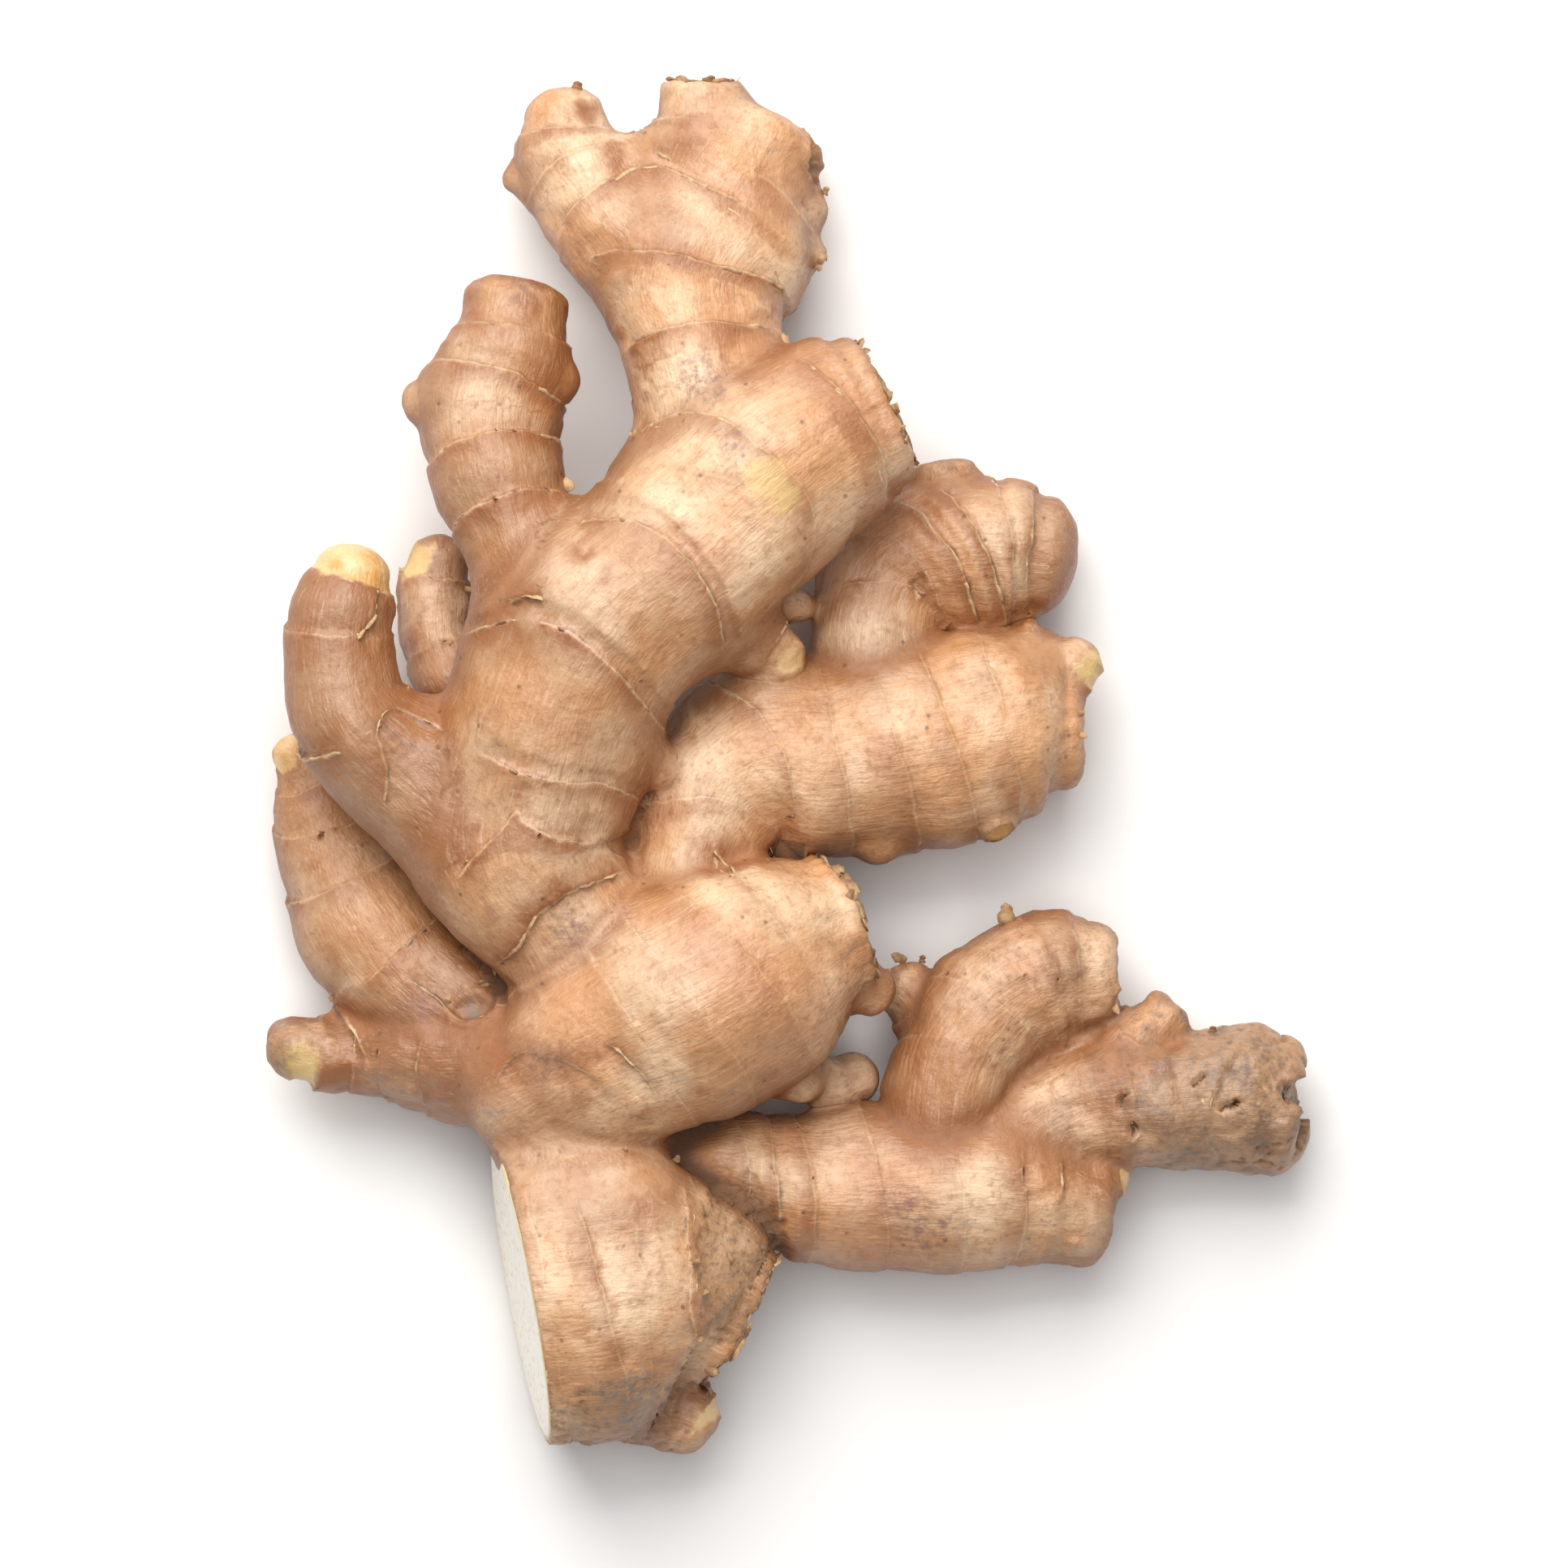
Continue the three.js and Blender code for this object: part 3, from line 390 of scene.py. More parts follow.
# The whole root as a distance: the fingers one after another, joined by a soft minimum that takes off
# a quarter of the blend where two are equally near. Keeps which finger is nearest, and the next one's gap.
# wholeFoot reads only the fingers that the knife goes through, as they were before the cut.
def rootDistance(points, wholeFoot=False):
    count = len(points)
    distance, nearest, second = (np.full(count, hand["far"]) for _ in range(3))
    outward, own, traits = (np.zeros((count, wide)) for wide in (3, 5, 3))
    onCut, groove, which = np.zeros(count), np.zeros(count), np.full(count, -1)
    weight = np.full(count, hand["leastWeight"])
    side = (points - knife["point"]) @ knife["normal"]
    for number in knifeFirst[:spineIsCut.sum()] if wholeFoot else knifeFirst:
        spine = spines[number]
        near = np.all((points > spine["low"]) & (points < spine["high"]), axis=1).nonzero()[0]
        gap, slope, mine = fingerDistance(spine, points[near])
        old = distance[near]
        blend, deep = spine["joint"]
        apart, lower = np.abs(old - gap), np.minimum(old, gap)
        mix = np.clip(1 - apart / blend, 0, 1)
        share = np.where(gap < old, 1 - mix / 2, mix / 2)[:, None]
        distance[near] = lower - mix ** 2 * blend / 4
        sharp = deep * smoothStep(apart, relief["grooveWidth"], 0) * smoothStep(lower, *relief["grooveLevel"])
        groove[near] = np.maximum(groove[near], sharp)
        outward[near] = outward[near] * (1 - share) + slope * share
        wins = gap < nearest[near]
        second[near] = np.where(wins, nearest[near], np.minimum(second[near], gap))
        won = near[wins]
        nearest[won], which[won], own[won] = gap[wins], number, mine[wins]
        pull = np.exp(-np.clip(gap, 0, hand["farApart"]) / hand["traitBlend"])
        share = np.clip(mine[:, 0] / spine["total"], 0, 1)
        ages = spine["age"][0] + (spine["age"][1] - spine["age"][0]) * share
        same = np.ones(len(near))
        traits[near] += pull[:, None] * np.stack([ages, spine["tan"] * same, spine["rough"] * same], axis=1)
        weight[near] += pull
        if number == lastCut and not wholeFoot:
            over = side > distance
            distance, nearest = np.maximum(distance, side), np.maximum(nearest, side)
            outward = np.where(over[:, None], knife["normal"], outward)
            onCut = (over & (distance < hand["far"] / 2)).astype(float)
    age, tan, rough = traits.T / weight
    return dict(distance=distance, outward=unit(outward, hand["nothing"]), which=which, own=own,
                onCut=onCut * spineIsCut[which], groove=groove, age=age, tan=tan, rough=rough,
                apart=np.minimum(second - nearest, hand["farApart"]))


# Moves points onto the root's skin in steps, each by the distance and against the outward direction.
def settle(points, steps=4):
    for _ in range(steps):
        field = rootDistance(points)
        step = np.clip(field["distance"], -hand["longStep"], hand["longStep"])
        points = points - step[:, None] * field["outward"]
    return points


# How a ring wanders off its plane: slow waves and short tears.
def ringWave(points):
    return (relief["waveHeight"] * slopeNoise(points / relief["wavePitch"], 21)
            + relief["tearHeight"] * slopeNoise(points / relief["tearPitch"], 22))


# Each finger's rings get their own strength, and the skin between them its own share of brown, drawn once.
forceDraw = np.random.default_rng(hand["seed"] + 1)
for spine in spines:
    spine["ringForce"] = spine["edge"] * forceDraw.uniform(*hand["forceSpan"], len(spine["rings"]))
    spine["segmentTint"] = forceDraw.uniform(0, 1, len(spine["rings"]) + 1) ** 2


# A fold's path as a smooth line of short straight pieces.
def foldLine(stations):
    stations = np.array(stations, float)
    last = len(stations) - 1
    return smoothLine(stations, np.linspace(0, last, hand["foldSteps"] * last + 1))


foldLines = [(strength, foldLine(stations)) for strength, *stations in folds]


# How far points lie past a fold's path, seen from above: the distance to its nearest piece, less than
# nothing on the left side. Gives also how far along the path that is, from 0 to 1.
def foldGap(line, points):
    step = np.diff(line, axis=0)
    away = points[:, None, :2] - line[:-1]
    share = np.clip((away * step).sum(2) / (step ** 2).sum(1), 0, 1)
    off = away - share[:, :, None] * step
    piece = (off ** 2).sum(2).argmin(1)
    row = np.arange(len(points))
    x, y = off[row, piece].T
    left = np.sign(step[piece, 0] * y - step[piece, 1] * x)
    return -left * np.hypot(x, y), (piece + share[row, piece]) / len(step)


# Where the skin's kinds begin and end, in millimetres or as shares. A pair is where a step starts and ends.
limits = dict(
    farGap=9.0, patchPitch=10, patchMiddle=0.8, patchSwing=0.7, patchSpan=(0.15, 1.2),  # a rim comes and goes
    tie=2.0,  # halfway between two rings neither shows
    drawnSide=(0.6, 0.1),  # height on a finger where its rings give way to drawn folds
    budPitch=4.5, budFray=0.9, budEdge=0.35, nubBudStart=0.45, nubBudEdge=(-0.3, 0.3),
    endStart=0.8, scarOver=0.16, scarUnder=0.06,
    seam=(0.2, 1.6),  # gap to the next finger where rings fade out
    foldUpward=(0.1, 0.35), foldBox=6, foldWander=0.6, foldEnd=0.1, foldLead=2, foldYield=4, foldReach=5,
    foldLeast=0.02, foldClear=6.5, foldFade=3.5, foldPatch=0.2, foldSpan=(0.4, 1.2),
    fray=0.16, frayPitch=1.4, spotEdge=(1.06, 0.9), dentEdge=(1.15, 0.55), lipMiddle=1.12, lipWidth=0.17,
    agePitch=7, ageSwing=0.5, budHolds=0.5,
    # Painted shade: the sides that face down, over the span flank of upward facing, and the skin within the
    # span beside of the next finger are painted browner by their own shares. tintBrown is the real brown tint
    # between rings.
    flank=(0.75, 0), beside=(5, 0.5), tintBrown=0.5, lowerSideShade=0.9, besideFingerShade=0.7, mostTan=1.5,
)


# Rings of one finger at points on it: how far past the nearest ring, its strength, the share of brown
# between the rings, and the share of bud past the finger's bud ring.
def fingerRings(spine, points, length, u, v, wave, patchy):
    ring = np.maximum(np.hypot(u, v), hand["small"])
    shift = spine["shiftRight"] * (u / ring)[:, None] + spine["shiftTop"] * (v / ring)[:, None]
    gaps = length[:, None] - spine["ringLength"] - shift + wave[:, None]
    ranked = np.sort(np.abs(gaps), axis=1)
    alone = smoothStep(ranked[:, 1] - ranked[:, 0], 0, limits["tie"]) if ranked.shape[1] > 1 else 1
    pick = np.abs(gaps).argmin(1)
    force = spine["ringForce"][pick] * patchy * alone
    if spine["drawn"]:
        force *= smoothStep(v / ring, *limits["drawnSide"])
    bud = np.zeros(len(points))
    if spine["bud"] >= 0:
        fray = limits["budFray"] * slopeNoise(points / limits["budPitch"], 26)
        bud = smoothStep(gaps[:, spine["bud"]] + fray, 0.0, limits["budEdge"])
    return gaps[np.arange(len(points)), pick], force, spine["segmentTint"][(gaps > 0).sum(1)], bud


# What the skin is like at points on it: how far past the nearest ring or fold they lie, its strength, the
# finger's straightened coordinates, and the shares of bud, torn end, cut face and age.
def skinState(points):
    field = rootDistance(points)
    count = len(points)
    wave = ringWave(points)
    comesAndGoes = limits["patchSwing"] * slopeNoise(points / limits["patchPitch"], 23)
    patchy = np.clip(limits["patchMiddle"] + comesAndGoes, *limits["patchSpan"])
    gap, force = np.full(count, limits["farGap"]), np.zeros(count)
    bud, torn, ruff, tint, dent = (np.zeros(count) for _ in range(5))
    for number, spine in enumerate(spines):
        here = (field["which"] == number).nonzero()[0]
        if not len(here):
            continue
        length, u, v, _, inset = field["own"][here].T
        if len(spine["rings"]):
            gap[here], force[here], tint[here], bud[here] = fingerRings(
                spine, points[here], length, u, v, wave[here], patchy[here])
        elif spine["bud"] >= 0:
            past = length - spine["total"] * limits["nubBudStart"] + wave[here]
            bud[here] = smoothStep(past, *limits["nubBudEdge"])
        if spine["scar"]:
            atEnd = smoothStep(length - spine["total"], 0.0, limits["endStart"])
            dish = smoothStep(inset, spine["scar"] + limits["scarOver"], spine["scar"] - limits["scarUnder"])
            torn[here] = atEnd * dish
            ruffStart = spine["total"] - relief["ruffReach"]
            ruff[here] = spine["ruff"] * smoothStep(length, ruffStart, spine["total"])
    seam = smoothStep(field["apart"], *limits["seam"])
    force *= seam
    upper = smoothStep(field["outward"][:, 2], *limits["foldUpward"])
    for strength, line in foldLines:
        flat, edge = points[:, :2], limits["foldBox"]
        inBox = np.all((flat > line.min(0) - edge) & (flat < line.max(0) + edge), axis=1)
        here = (inBox & (upper > 0)).nonzero()[0]
        gaps, along = foldGap(line, points[here])
        gaps = gaps + limits["foldWander"] * wave[here]
        ends = smoothStep(along, 0, limits["foldEnd"]) * smoothStep(along, 1, 1 - limits["foldEnd"])
        ends = ends * upper[here]
        off = np.abs(gaps)
        allowed = np.abs(gap[here]) + limits["foldLead"] - limits["foldYield"] * (1 - ends)
        wins = (off < allowed) & (off < limits["foldReach"]) & (ends > limits["foldLeast"])
        won = here[wins]
        force[here] *= 1 - ends * smoothStep(off, limits["foldClear"], limits["foldReach"])
        fade = ends[wins] * smoothStep(off[wins], limits["foldReach"], limits["foldFade"])
        gap[won] = gaps[wins]
        force[won] = strength * fade * np.clip(patchy[won] + limits["foldPatch"], *limits["foldSpan"])
    fray = limits["fray"] * slopeNoise(points / limits["frayPitch"], 25)
    for _, middle, size, turn, depth, lip, tornShare, budShare in spots:
        off = points - middle
        turn = np.radians(turn)
        across = np.stack([off[:, 0] * np.cos(turn) + off[:, 1] * np.sin(turn),
                           off[:, 1] * np.cos(turn) - off[:, 0] * np.sin(turn), off[:, 2]], axis=1)
        inset = np.linalg.norm(across / size, axis=1) + fray
        inside = smoothStep(inset, *limits["spotEdge"])
        ridge = np.exp(-((inset - limits["lipMiddle"]) / limits["lipWidth"]) ** 2)
        dent += depth * smoothStep(inset, *limits["dentEdge"]) - lip * ridge
        bud = np.maximum(bud * (1 - inside * (tornShare > 0)), budShare * inside)
        torn = np.maximum(torn, tornShare * inside)
    onCut = field["onCut"]
    gap = np.where(onCut > 0, limits["farGap"], gap)
    age = field["age"] + limits["ageSwing"] * field["age"] * layeredNoise(points / limits["agePitch"], 24, 2)
    # Painted shade: besides the finger's own tan and the tint between its rings, the lower sides and the skin
    # close beside another finger are painted browner.
    tan = (field["tan"] + limits["tintBrown"] * tint * seam
           + limits["lowerSideShade"] * smoothStep(field["outward"][:, 2], *limits["flank"])
           + limits["besideFingerShade"] * smoothStep(field["apart"], *limits["beside"]))
    return dict(field, gap=gap, force=force * (1 - bud * limits["budHolds"]), bud=bud * (1 - onCut),
                torn=torn * (1 - onCut), dent=dent * (1 - onCut), age=np.clip(age, 0, 1), ruff=ruff,
                seam=seam, tan=np.clip(tan, 0, limits["mostTan"]))


# A finger's straightened coordinates as places for grain, the last one along it.
def grainPlace(state):
    return state["own"][:, [1, 2, 0]]


# Height of the skin over the smooth form: lumps as in the solid, dents, furrows along the finger, the rise
# before a ring and the fall past it, and the rough dish of a torn end.
def skinHeight(points, state):
    grain, rough, gap, torn = grainPlace(state), state["rough"], state["gap"], state["torn"]
    turn = 2 * np.pi / relief["lumpPitch"]
    lump = sum(np.sin(turn * (points @ wave[:3]) + wave[3]) for wave in np.array(relief["lumpWaves"]))
    height = lump * relief["lumpHeight"] * 2 / 3
    height += relief["knobHeight"] * layeredNoise(points / relief["knobPitch"], 31, 2) * rough
    height += relief["dentHeight"] * layeredNoise(points / relief["dentPitch"], 36, 2) * rough
    shift = state["which"][:, None] * relief["fingerShift"]
    furrow = layeredNoise(grain / relief["wrinkleSize"] + shift, 32, 2)
    calm = smoothStep(state["apart"], 0.0, relief["calmReach"])
    here = relief["wrinkleShare"] + relief["wrinkleShare"] * slopeNoise(points / relief["wrinklePitch"], 33)
    height += relief["wrinkleHeight"] * furrow * rough * calm * here
    height += relief["ruffHeight"] * layeredNoise(grain / relief["ruffSize"], 37, 2) * state["ruff"] * calm
    before = relief["rimHeight"] * np.exp(np.minimum(gap, 0) / relief["rimRise"])
    fall = smoothStep(gap, 0, relief["rimFace"])
    after = -relief["rimDrop"] * np.exp(-np.maximum(gap - relief["rimFace"], 0) / relief["rimRecover"])
    height += state["force"] * (before * (1 - fall) + after * fall) * calm
    valley = np.exp(-(gap / relief["valleyWidth"]) ** 2)
    height -= relief["valleyDepth"] * valley * np.minimum(state["force"], 1)
    wander = relief["crackWander"] * furrow[:, None]
    crack = np.abs(slopeNoise(points / relief["crackPitch"] + wander, 34))
    crack = smoothStep(crack, relief["crackWidth"], 0.0)
    height -= relief["crackHeight"] * crack * smoothStep(state["age"], *relief["crackAge"])
    height *= 1 - relief["budSmooth"] * state["bud"]
    height -= relief["grooveDepth"] * state["groove"] + state["dent"]
    fibres = layeredNoise(grain / relief["fibreSize"], 35, 3)
    height += torn * (relief["dishRough"] * fibres - relief["dishDepth"])
    height -= relief["budSunk"] * state["bud"]
    return np.where(state["onCut"] > 0, 0, height)


# Points on the form become points on the finished skin, never below the table.
def dress(points):
    state = skinState(points)
    skin = points + skinHeight(points, state)[:, None] * state["outward"]
    skin[:, 2] = np.maximum(skin[:, 2], 0)
    return skin, state


# Drawn millimetres as the frame's metres: the point minus the frame's origin, times one millimetre.
def toFrame(points):
    return (points - hand["middle"]) * mm


# Makes a smooth piece of a mesh, on the root's body and in its slot of looks.
def addPiece(name, mesh, material):
    mesh.polygons.foreach_set("use_smooth", np.ones(len(mesh.polygons), bool))
    mesh.materials.clear()
    mesh.materials.append(material)
    piece = bpy.data.objects.new(name, mesh)
    bpy.context.scene.collection.objects.link(piece)
    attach(piece, "root")
    print(name, "has", len(mesh.polygons), "faces")
    return piece


# Puts points and faces into a piece at the origin, with faces that point outwards.
def makePiece(name, points, faces, material):
    mesh = bpy.data.meshes.new(name)
    mesh.from_pydata(toFrame(points).tolist(), [], faces)
    work = bmesh.new()
    work.from_mesh(mesh)
    bmesh.ops.recalc_face_normals(work, faces=work.faces)
    work.to_mesh(mesh)
    work.free()
    return addPiece(name, mesh, material)


# sRGB hex to linear red, green, blue and alpha: a channel up to 0.04045 is divided by 12.92, and a brighter
# one is (channel + 0.055) / 1.055 to the power 2.4.
def toLinear(code):
    channels = np.array([int(code[n:n + 2], 16) for n in (0, 2, 4)]) / 255
    linear = np.where(channels <= 0.04045, channels / 12.92, ((channels + 0.055) / 1.055) ** 2.4)
    return (*linear.tolist(), 1.0)


# Adds a node, sets its fields and inputs (a value, or an output to link), and fills a ramp's stops.
def addNode(tree, kind, fields=(), inputs=(), stops=()):
    node = tree.nodes.new(kind)
    for name, value in dict(fields).items():
        setattr(node, name, value)
    for name, value in dict(inputs).items():
        if isinstance(value, bpy.types.NodeSocket):
            tree.links.new(value, node.inputs[name])
        else:
            node.inputs[name].default_value = value
    if stops:
        elements = node.color_ramp.elements
        while len(elements) < len(stops):
            elements.new(0.5)
        for element, (position, level) in zip(elements, stops):
            element.position = position
            element.color = (level, level, level, 1)
    return node


# A new material with an empty node tree.
def startMaterial(name):
    material = bpy.data.materials.new(name)
    material.use_nodes = True
    material.node_tree.nodes.clear()
    return material, material.node_tree


# Colours and sizes of the rind. A noise is its name, pitch in millimetres, detail and roughness. A rise is a
# source and its height in millimetres.
skinLook = dict(
    # dark serves the flecks and torn specks, and also painted shade in the grooves and a painted shadow line
    # past a rim. umber serves the brown fingers and painted shade on the lower sides and beside other
    # fingers. line is the pale thread at a ring, with a painted highlight.
    tan="D29C6C", pale="EDCFAC", brown="9B6239", umber="8E562A", pink="C9906A", dark="4E3220", line="E8CBA0",
    aged="AC8563", agedDark="6A5140", torn="86603F", tornPale="C9A277",
    bud="E8C491", budDeep="D79C4E", grey="85837F", yellow="E6CC86", purple="7F5D55", rust="9C6238",
    noises=[["patch", 17.0, 3, 0.55], ["pinkish", 24.0, 2, 0.5], ["cloud", 6.0, 4, 0.62],
            ["breaks", 3.2, 2, 0.5], ["crinkle", 1.9, 3, 0.55], ["speck", 1.3, 5, 0.7]],
    strandWidth=0.5, strandLength=4.5, strandDetail=3.0, strandRough=0.6, strandCalm=0.5,
    fleckPitch=3.1, fleckSpan=(0.16, 0.05), rises=[["strand", 0.17], ["crinkle", 0.27], ["speck", 0.11]],
    glossSpan=(0.3, 0.7), smoothest=0.38, roughest=0.52, budGloss=-0.04, grooveDull=0.5,
    density=1.5, sheen=0.8, glow=0.12, glowDepth=1.6, glowSpread=(1.0, 0.5, 0.25),
)

# Bands beside a ring, as stops [share, level]: 0 is 6 mm on the root side of it and 1 is 6 mm past it. band
# is painted shade on the root side, where the skin flares up to the rim, and browner skin past it; line is
# the papery edge's pale thread with a painted highlight on it; slit is a painted shadow line just past the
# rim.
ringBands = dict(
    band=[(0.0, 0.0), (0.2, 0.3), (0.4, 0.75), (0.49, 1.0), (0.5, 0.2), (0.54, 0.4), (0.68, 0.15),
          (0.85, 0.0)],
    line=[(0.47, 0.0), (0.488, 1.0), (0.503, 1.0), (0.515, 0.0)],
    slit=[(0.505, 0.0), (0.52, 1.0), (0.535, 0.6), (0.56, 0.0)],
)

# Layers of colour on the rind, each over the last: colour, source, the source's values at no share and at the
# most, the most share, and what else the share is multiplied by.
rindLayers = [
    ["pale", "patch", 0.36, 0.64, 0.85, []],
    ["pink", "pinkish", 0.48, 0.72, 0.6, []],
    # umber follows tan: the brown fingers' own colour, and painted shade on the lower sides and beside other
    # fingers.
    ["umber", "tan", 0.0, 1.5, 0.9, []],
    ["brown", "cloud", 0.5, 0.74, 0.55, []],
    ["brown", "speck", 0.48, 0.76, 0.6, []],
    ["brown", "strand", 0.5, 0.75, 0.34, []],
    ["pale", "strand", 0.46, 0.26, 0.3, []],
    # Painted shade: the groove where two fingers meet is painted brown, then near black.
    ["brown", "groove", 0.0, 0.4, 0.6, []],
    ["dark", "groove", 0.25, 0.9, 0.85, []],
    # Painted shade before the rim, where the skin flares up to it, and browner skin just past it.
    ["brown", "band", 0.0, 1.0, 1.9, ["ringForce", "cloud"]],
    # Painted shadow: a thin dark line just past the rim's edge.
    ["dark", "breaks", 0.62, 0.36, 0.75, ["slit", "ringForce"]],
    # The papery edge's pale thread, with a painted highlight on it.
    ["line", "breaks", 0.36, 0.62, 0.4, ["line", "ringForce"]],
    ["dark", "chosen", 0.66, 0.8, 1.2, ["fleck", "cloud"]],
    ["aged", "age", 0.4, 0.75, 1.0, []],
    ["agedDark", "cloud", 0.46, 0.66, 0.85, ["age"]],
    ["agedDark", "speck", 0.46, 0.72, 0.8, ["age"]],
    ["pink", "patch", 0.5, 0.7, 0.35, ["age"]],
    ["torn", "torn", 0.0, 0.8, 1.0, []],
    ["tornPale", "strand", 0.5, 0.3, 0.8, ["torn"]],
    ["dark", "speck", 0.48, 0.66, 1.0, ["torn"]],
    ["bud", "bud", 0.0, 1.0, 1.0, []],
    ["budDeep", "cloud", 0.42, 0.66, 0.9, ["bud"]],
    ["grey", "speck", 0.35, 0.65, 0.6, ["grey"]],
    ["yellow", "yellow", 0.0, 1.0, 0.5, []],
    ["purple", "speck", 0.36, 0.64, 0.6, ["purple"]],
    ["rust", "cloud", 0.25, 0.55, 0.95, ["rust"]],
]


# Where the rind's layers get their shares: the skin's attributes, noises in millimetres, strands along each
# finger, chosen flecks, and the bands beside a ring.
def rindSources(tree):
    look = skinLook
    place = addNode(tree, "ShaderNodeTexCoord").outputs["Object"]
    source = {name: addNode(tree, "ShaderNodeAttribute", dict(attribute_name=name)).outputs["Fac"]
              for name in ("ringGap", "ringForce", "age", "bud", "torn", "tan", "groove", "seam")}
    grain = addNode(tree, "ShaderNodeAttribute", dict(attribute_name="grain")).outputs["Vector"]
    marksRead = addNode(tree, "ShaderNodeAttribute", dict(attribute_name="marks"))
    kinds = addNode(tree, "ShaderNodeSeparateColor", {}, {0: marksRead.outputs["Color"]})
    source.update(zip(("grey", "yellow", "purple"), kinds.outputs), rust=marksRead.outputs["Alpha"])
    for name, pitch, detail, rough in look["noises"]:
        source[name] = addNode(tree, "ShaderNodeTexNoise", {}, {
            "Vector": place, "Scale": 1 / (pitch * mm), "Detail": detail, "Roughness": rough}).outputs["Fac"]
    strandSize = (1 / look["strandWidth"], 1 / look["strandWidth"], 1 / look["strandLength"])
    strandPlace = addNode(tree, "ShaderNodeVectorMath", dict(operation="MULTIPLY"), {0: grain, 1: strandSize})
    strand = addNode(tree, "ShaderNodeTexNoise", {}, {
        "Vector": strandPlace.outputs[0], "Scale": 1.0, "Detail": look["strandDetail"],
        "Roughness": look["strandRough"]}).outputs["Fac"]
    source["strand"] = addNode(tree, "ShaderNodeMix", {}, {
        0: source["seam"], 2: look["strandCalm"], 3: strand}).outputs[0]
    cells = addNode(tree, "ShaderNodeTexVoronoi", {}, {
        "Vector": place, "Scale": 1 / (look["fleckPitch"] * mm)})
    source["fleck"] = addNode(tree, "ShaderNodeMapRange", {}, {
        "Value": cells.outputs["Distance"], "From Min": look["fleckSpan"][0],
        "From Max": look["fleckSpan"][1]}).outputs[0]
    source["chosen"] = addNode(tree, "ShaderNodeSeparateColor", {}, {0: cells.outputs["Color"]}).outputs[0]
    ringShare = addNode(tree, "ShaderNodeMapRange", {}, {
        "Value": source["ringGap"], "From Min": -hand["ringSpan"], "From Max": hand["ringSpan"]}).outputs[0]
    for name, stops in ringBands.items():
        source[name] = addNode(tree, "ShaderNodeValToRGB", {}, {"Fac": ringShare}, stops).outputs[0]
    return source


# Fresh ginger rind: a thin corky skin with a satin sheen. It shows tan and pale patches, fine strands along
# the finger, dark flecks and waxy cream buds. Each ring has a brown band, painted shade before the rim and
# browner skin past it, a pale thread, the papery edge's own colour with a painted highlight on it, and a thin
# dark line of painted shadow past the rim. Painted shade also darkens the grooves between fingers, and browns
# the lower sides and the skin close beside another finger.
def makeRind():
    look = skinLook
    material, tree = startMaterial("fresh_ginger_rind")
    source = rindSources(tree)
    colour = toLinear(look["tan"])
    for name, driver, low, high, most, factors in rindLayers:
        share = addNode(tree, "ShaderNodeMapRange", dict(interpolation_type="SMOOTHSTEP"), {
            "Value": source[driver], "From Min": low, "From Max": high, "To Max": most}).outputs[0]
        for factor in factors:
            share = addNode(tree, "ShaderNodeMath", dict(operation="MULTIPLY"), {
                0: share, 1: source[factor]}).outputs[0]
        colour = addNode(tree, "ShaderNodeMix", dict(data_type="RGBA"), {
            0: share, 6: colour, 7: toLinear(look[name])}).outputs[2]
    rise = addNode(tree, "ShaderNodeNewGeometry").outputs["Normal"]
    for name, height in look["rises"]:
        rise = addNode(tree, "ShaderNodeBump", {}, {
            "Height": source[name], "Distance": height * mm, "Normal": rise}).outputs[0]
    gloss = addNode(tree, "ShaderNodeMapRange", {}, {
        "Value": source["speck"], "From Min": look["glossSpan"][0], "From Max": look["glossSpan"][1],
        "To Min": look["smoothest"], "To Max": look["roughest"]}).outputs[0]
    for name, change in (("bud", look["budGloss"]), ("groove", look["grooveDull"])):
        gloss = addNode(tree, "ShaderNodeMath", dict(operation="MULTIPLY_ADD"), {
            0: source[name], 1: change, 2: gloss}).outputs[0]
    shader = addNode(tree, "ShaderNodeBsdfPrincipled", {}, {
        "Base Color": colour, "Roughness": gloss, "Normal": rise, "IOR": look["density"],
        "Specular IOR Level": look["sheen"], "Subsurface Weight": look["glow"],
        "Subsurface Scale": look["glowDepth"] * mm, "Subsurface Radius": look["glowSpread"]})
    addNode(tree, "ShaderNodeOutputMaterial", {}, {"Surface": shader.outputs[0]})
    return material


paper = dict(pitch=2.4, detail=4.0, rough=0.65, deepSpan=(0.35, 0.68), rise=0.06, dull=0.6, glow=0.15,
             glowDepth=0.8)


# Dry leaf-scale edge: thin papery skin, pale straw with browner shreds.
def makePaper(name, light, deep):
    material, tree = startMaterial(name)
    place = addNode(tree, "ShaderNodeTexCoord").outputs["Object"]
    noise = addNode(tree, "ShaderNodeTexNoise", {}, {
        "Vector": place, "Scale": 1 / (paper["pitch"] * mm), "Detail": paper["detail"],
        "Roughness": paper["rough"]}).outputs["Fac"]
    share = addNode(tree, "ShaderNodeMapRange", {}, {
        "Value": noise, "From Min": paper["deepSpan"][0], "From Max": paper["deepSpan"][1]}).outputs[0]
    colour = addNode(tree, "ShaderNodeMix", dict(data_type="RGBA"), {
        0: share, 6: toLinear(light), 7: toLinear(deep)}).outputs[2]
    rise = addNode(tree, "ShaderNodeBump", {}, {"Height": noise, "Distance": paper["rise"] * mm}).outputs[0]
    shader = addNode(tree, "ShaderNodeBsdfPrincipled", {}, {
        "Base Color": colour, "Roughness": paper["dull"], "Normal": rise, "Subsurface Weight": paper["glow"],
        "Subsurface Scale": paper["glowDepth"] * mm})
    addNode(tree, "ShaderNodeOutputMaterial", {}, {"Surface": shader.outputs[0]})
    return material


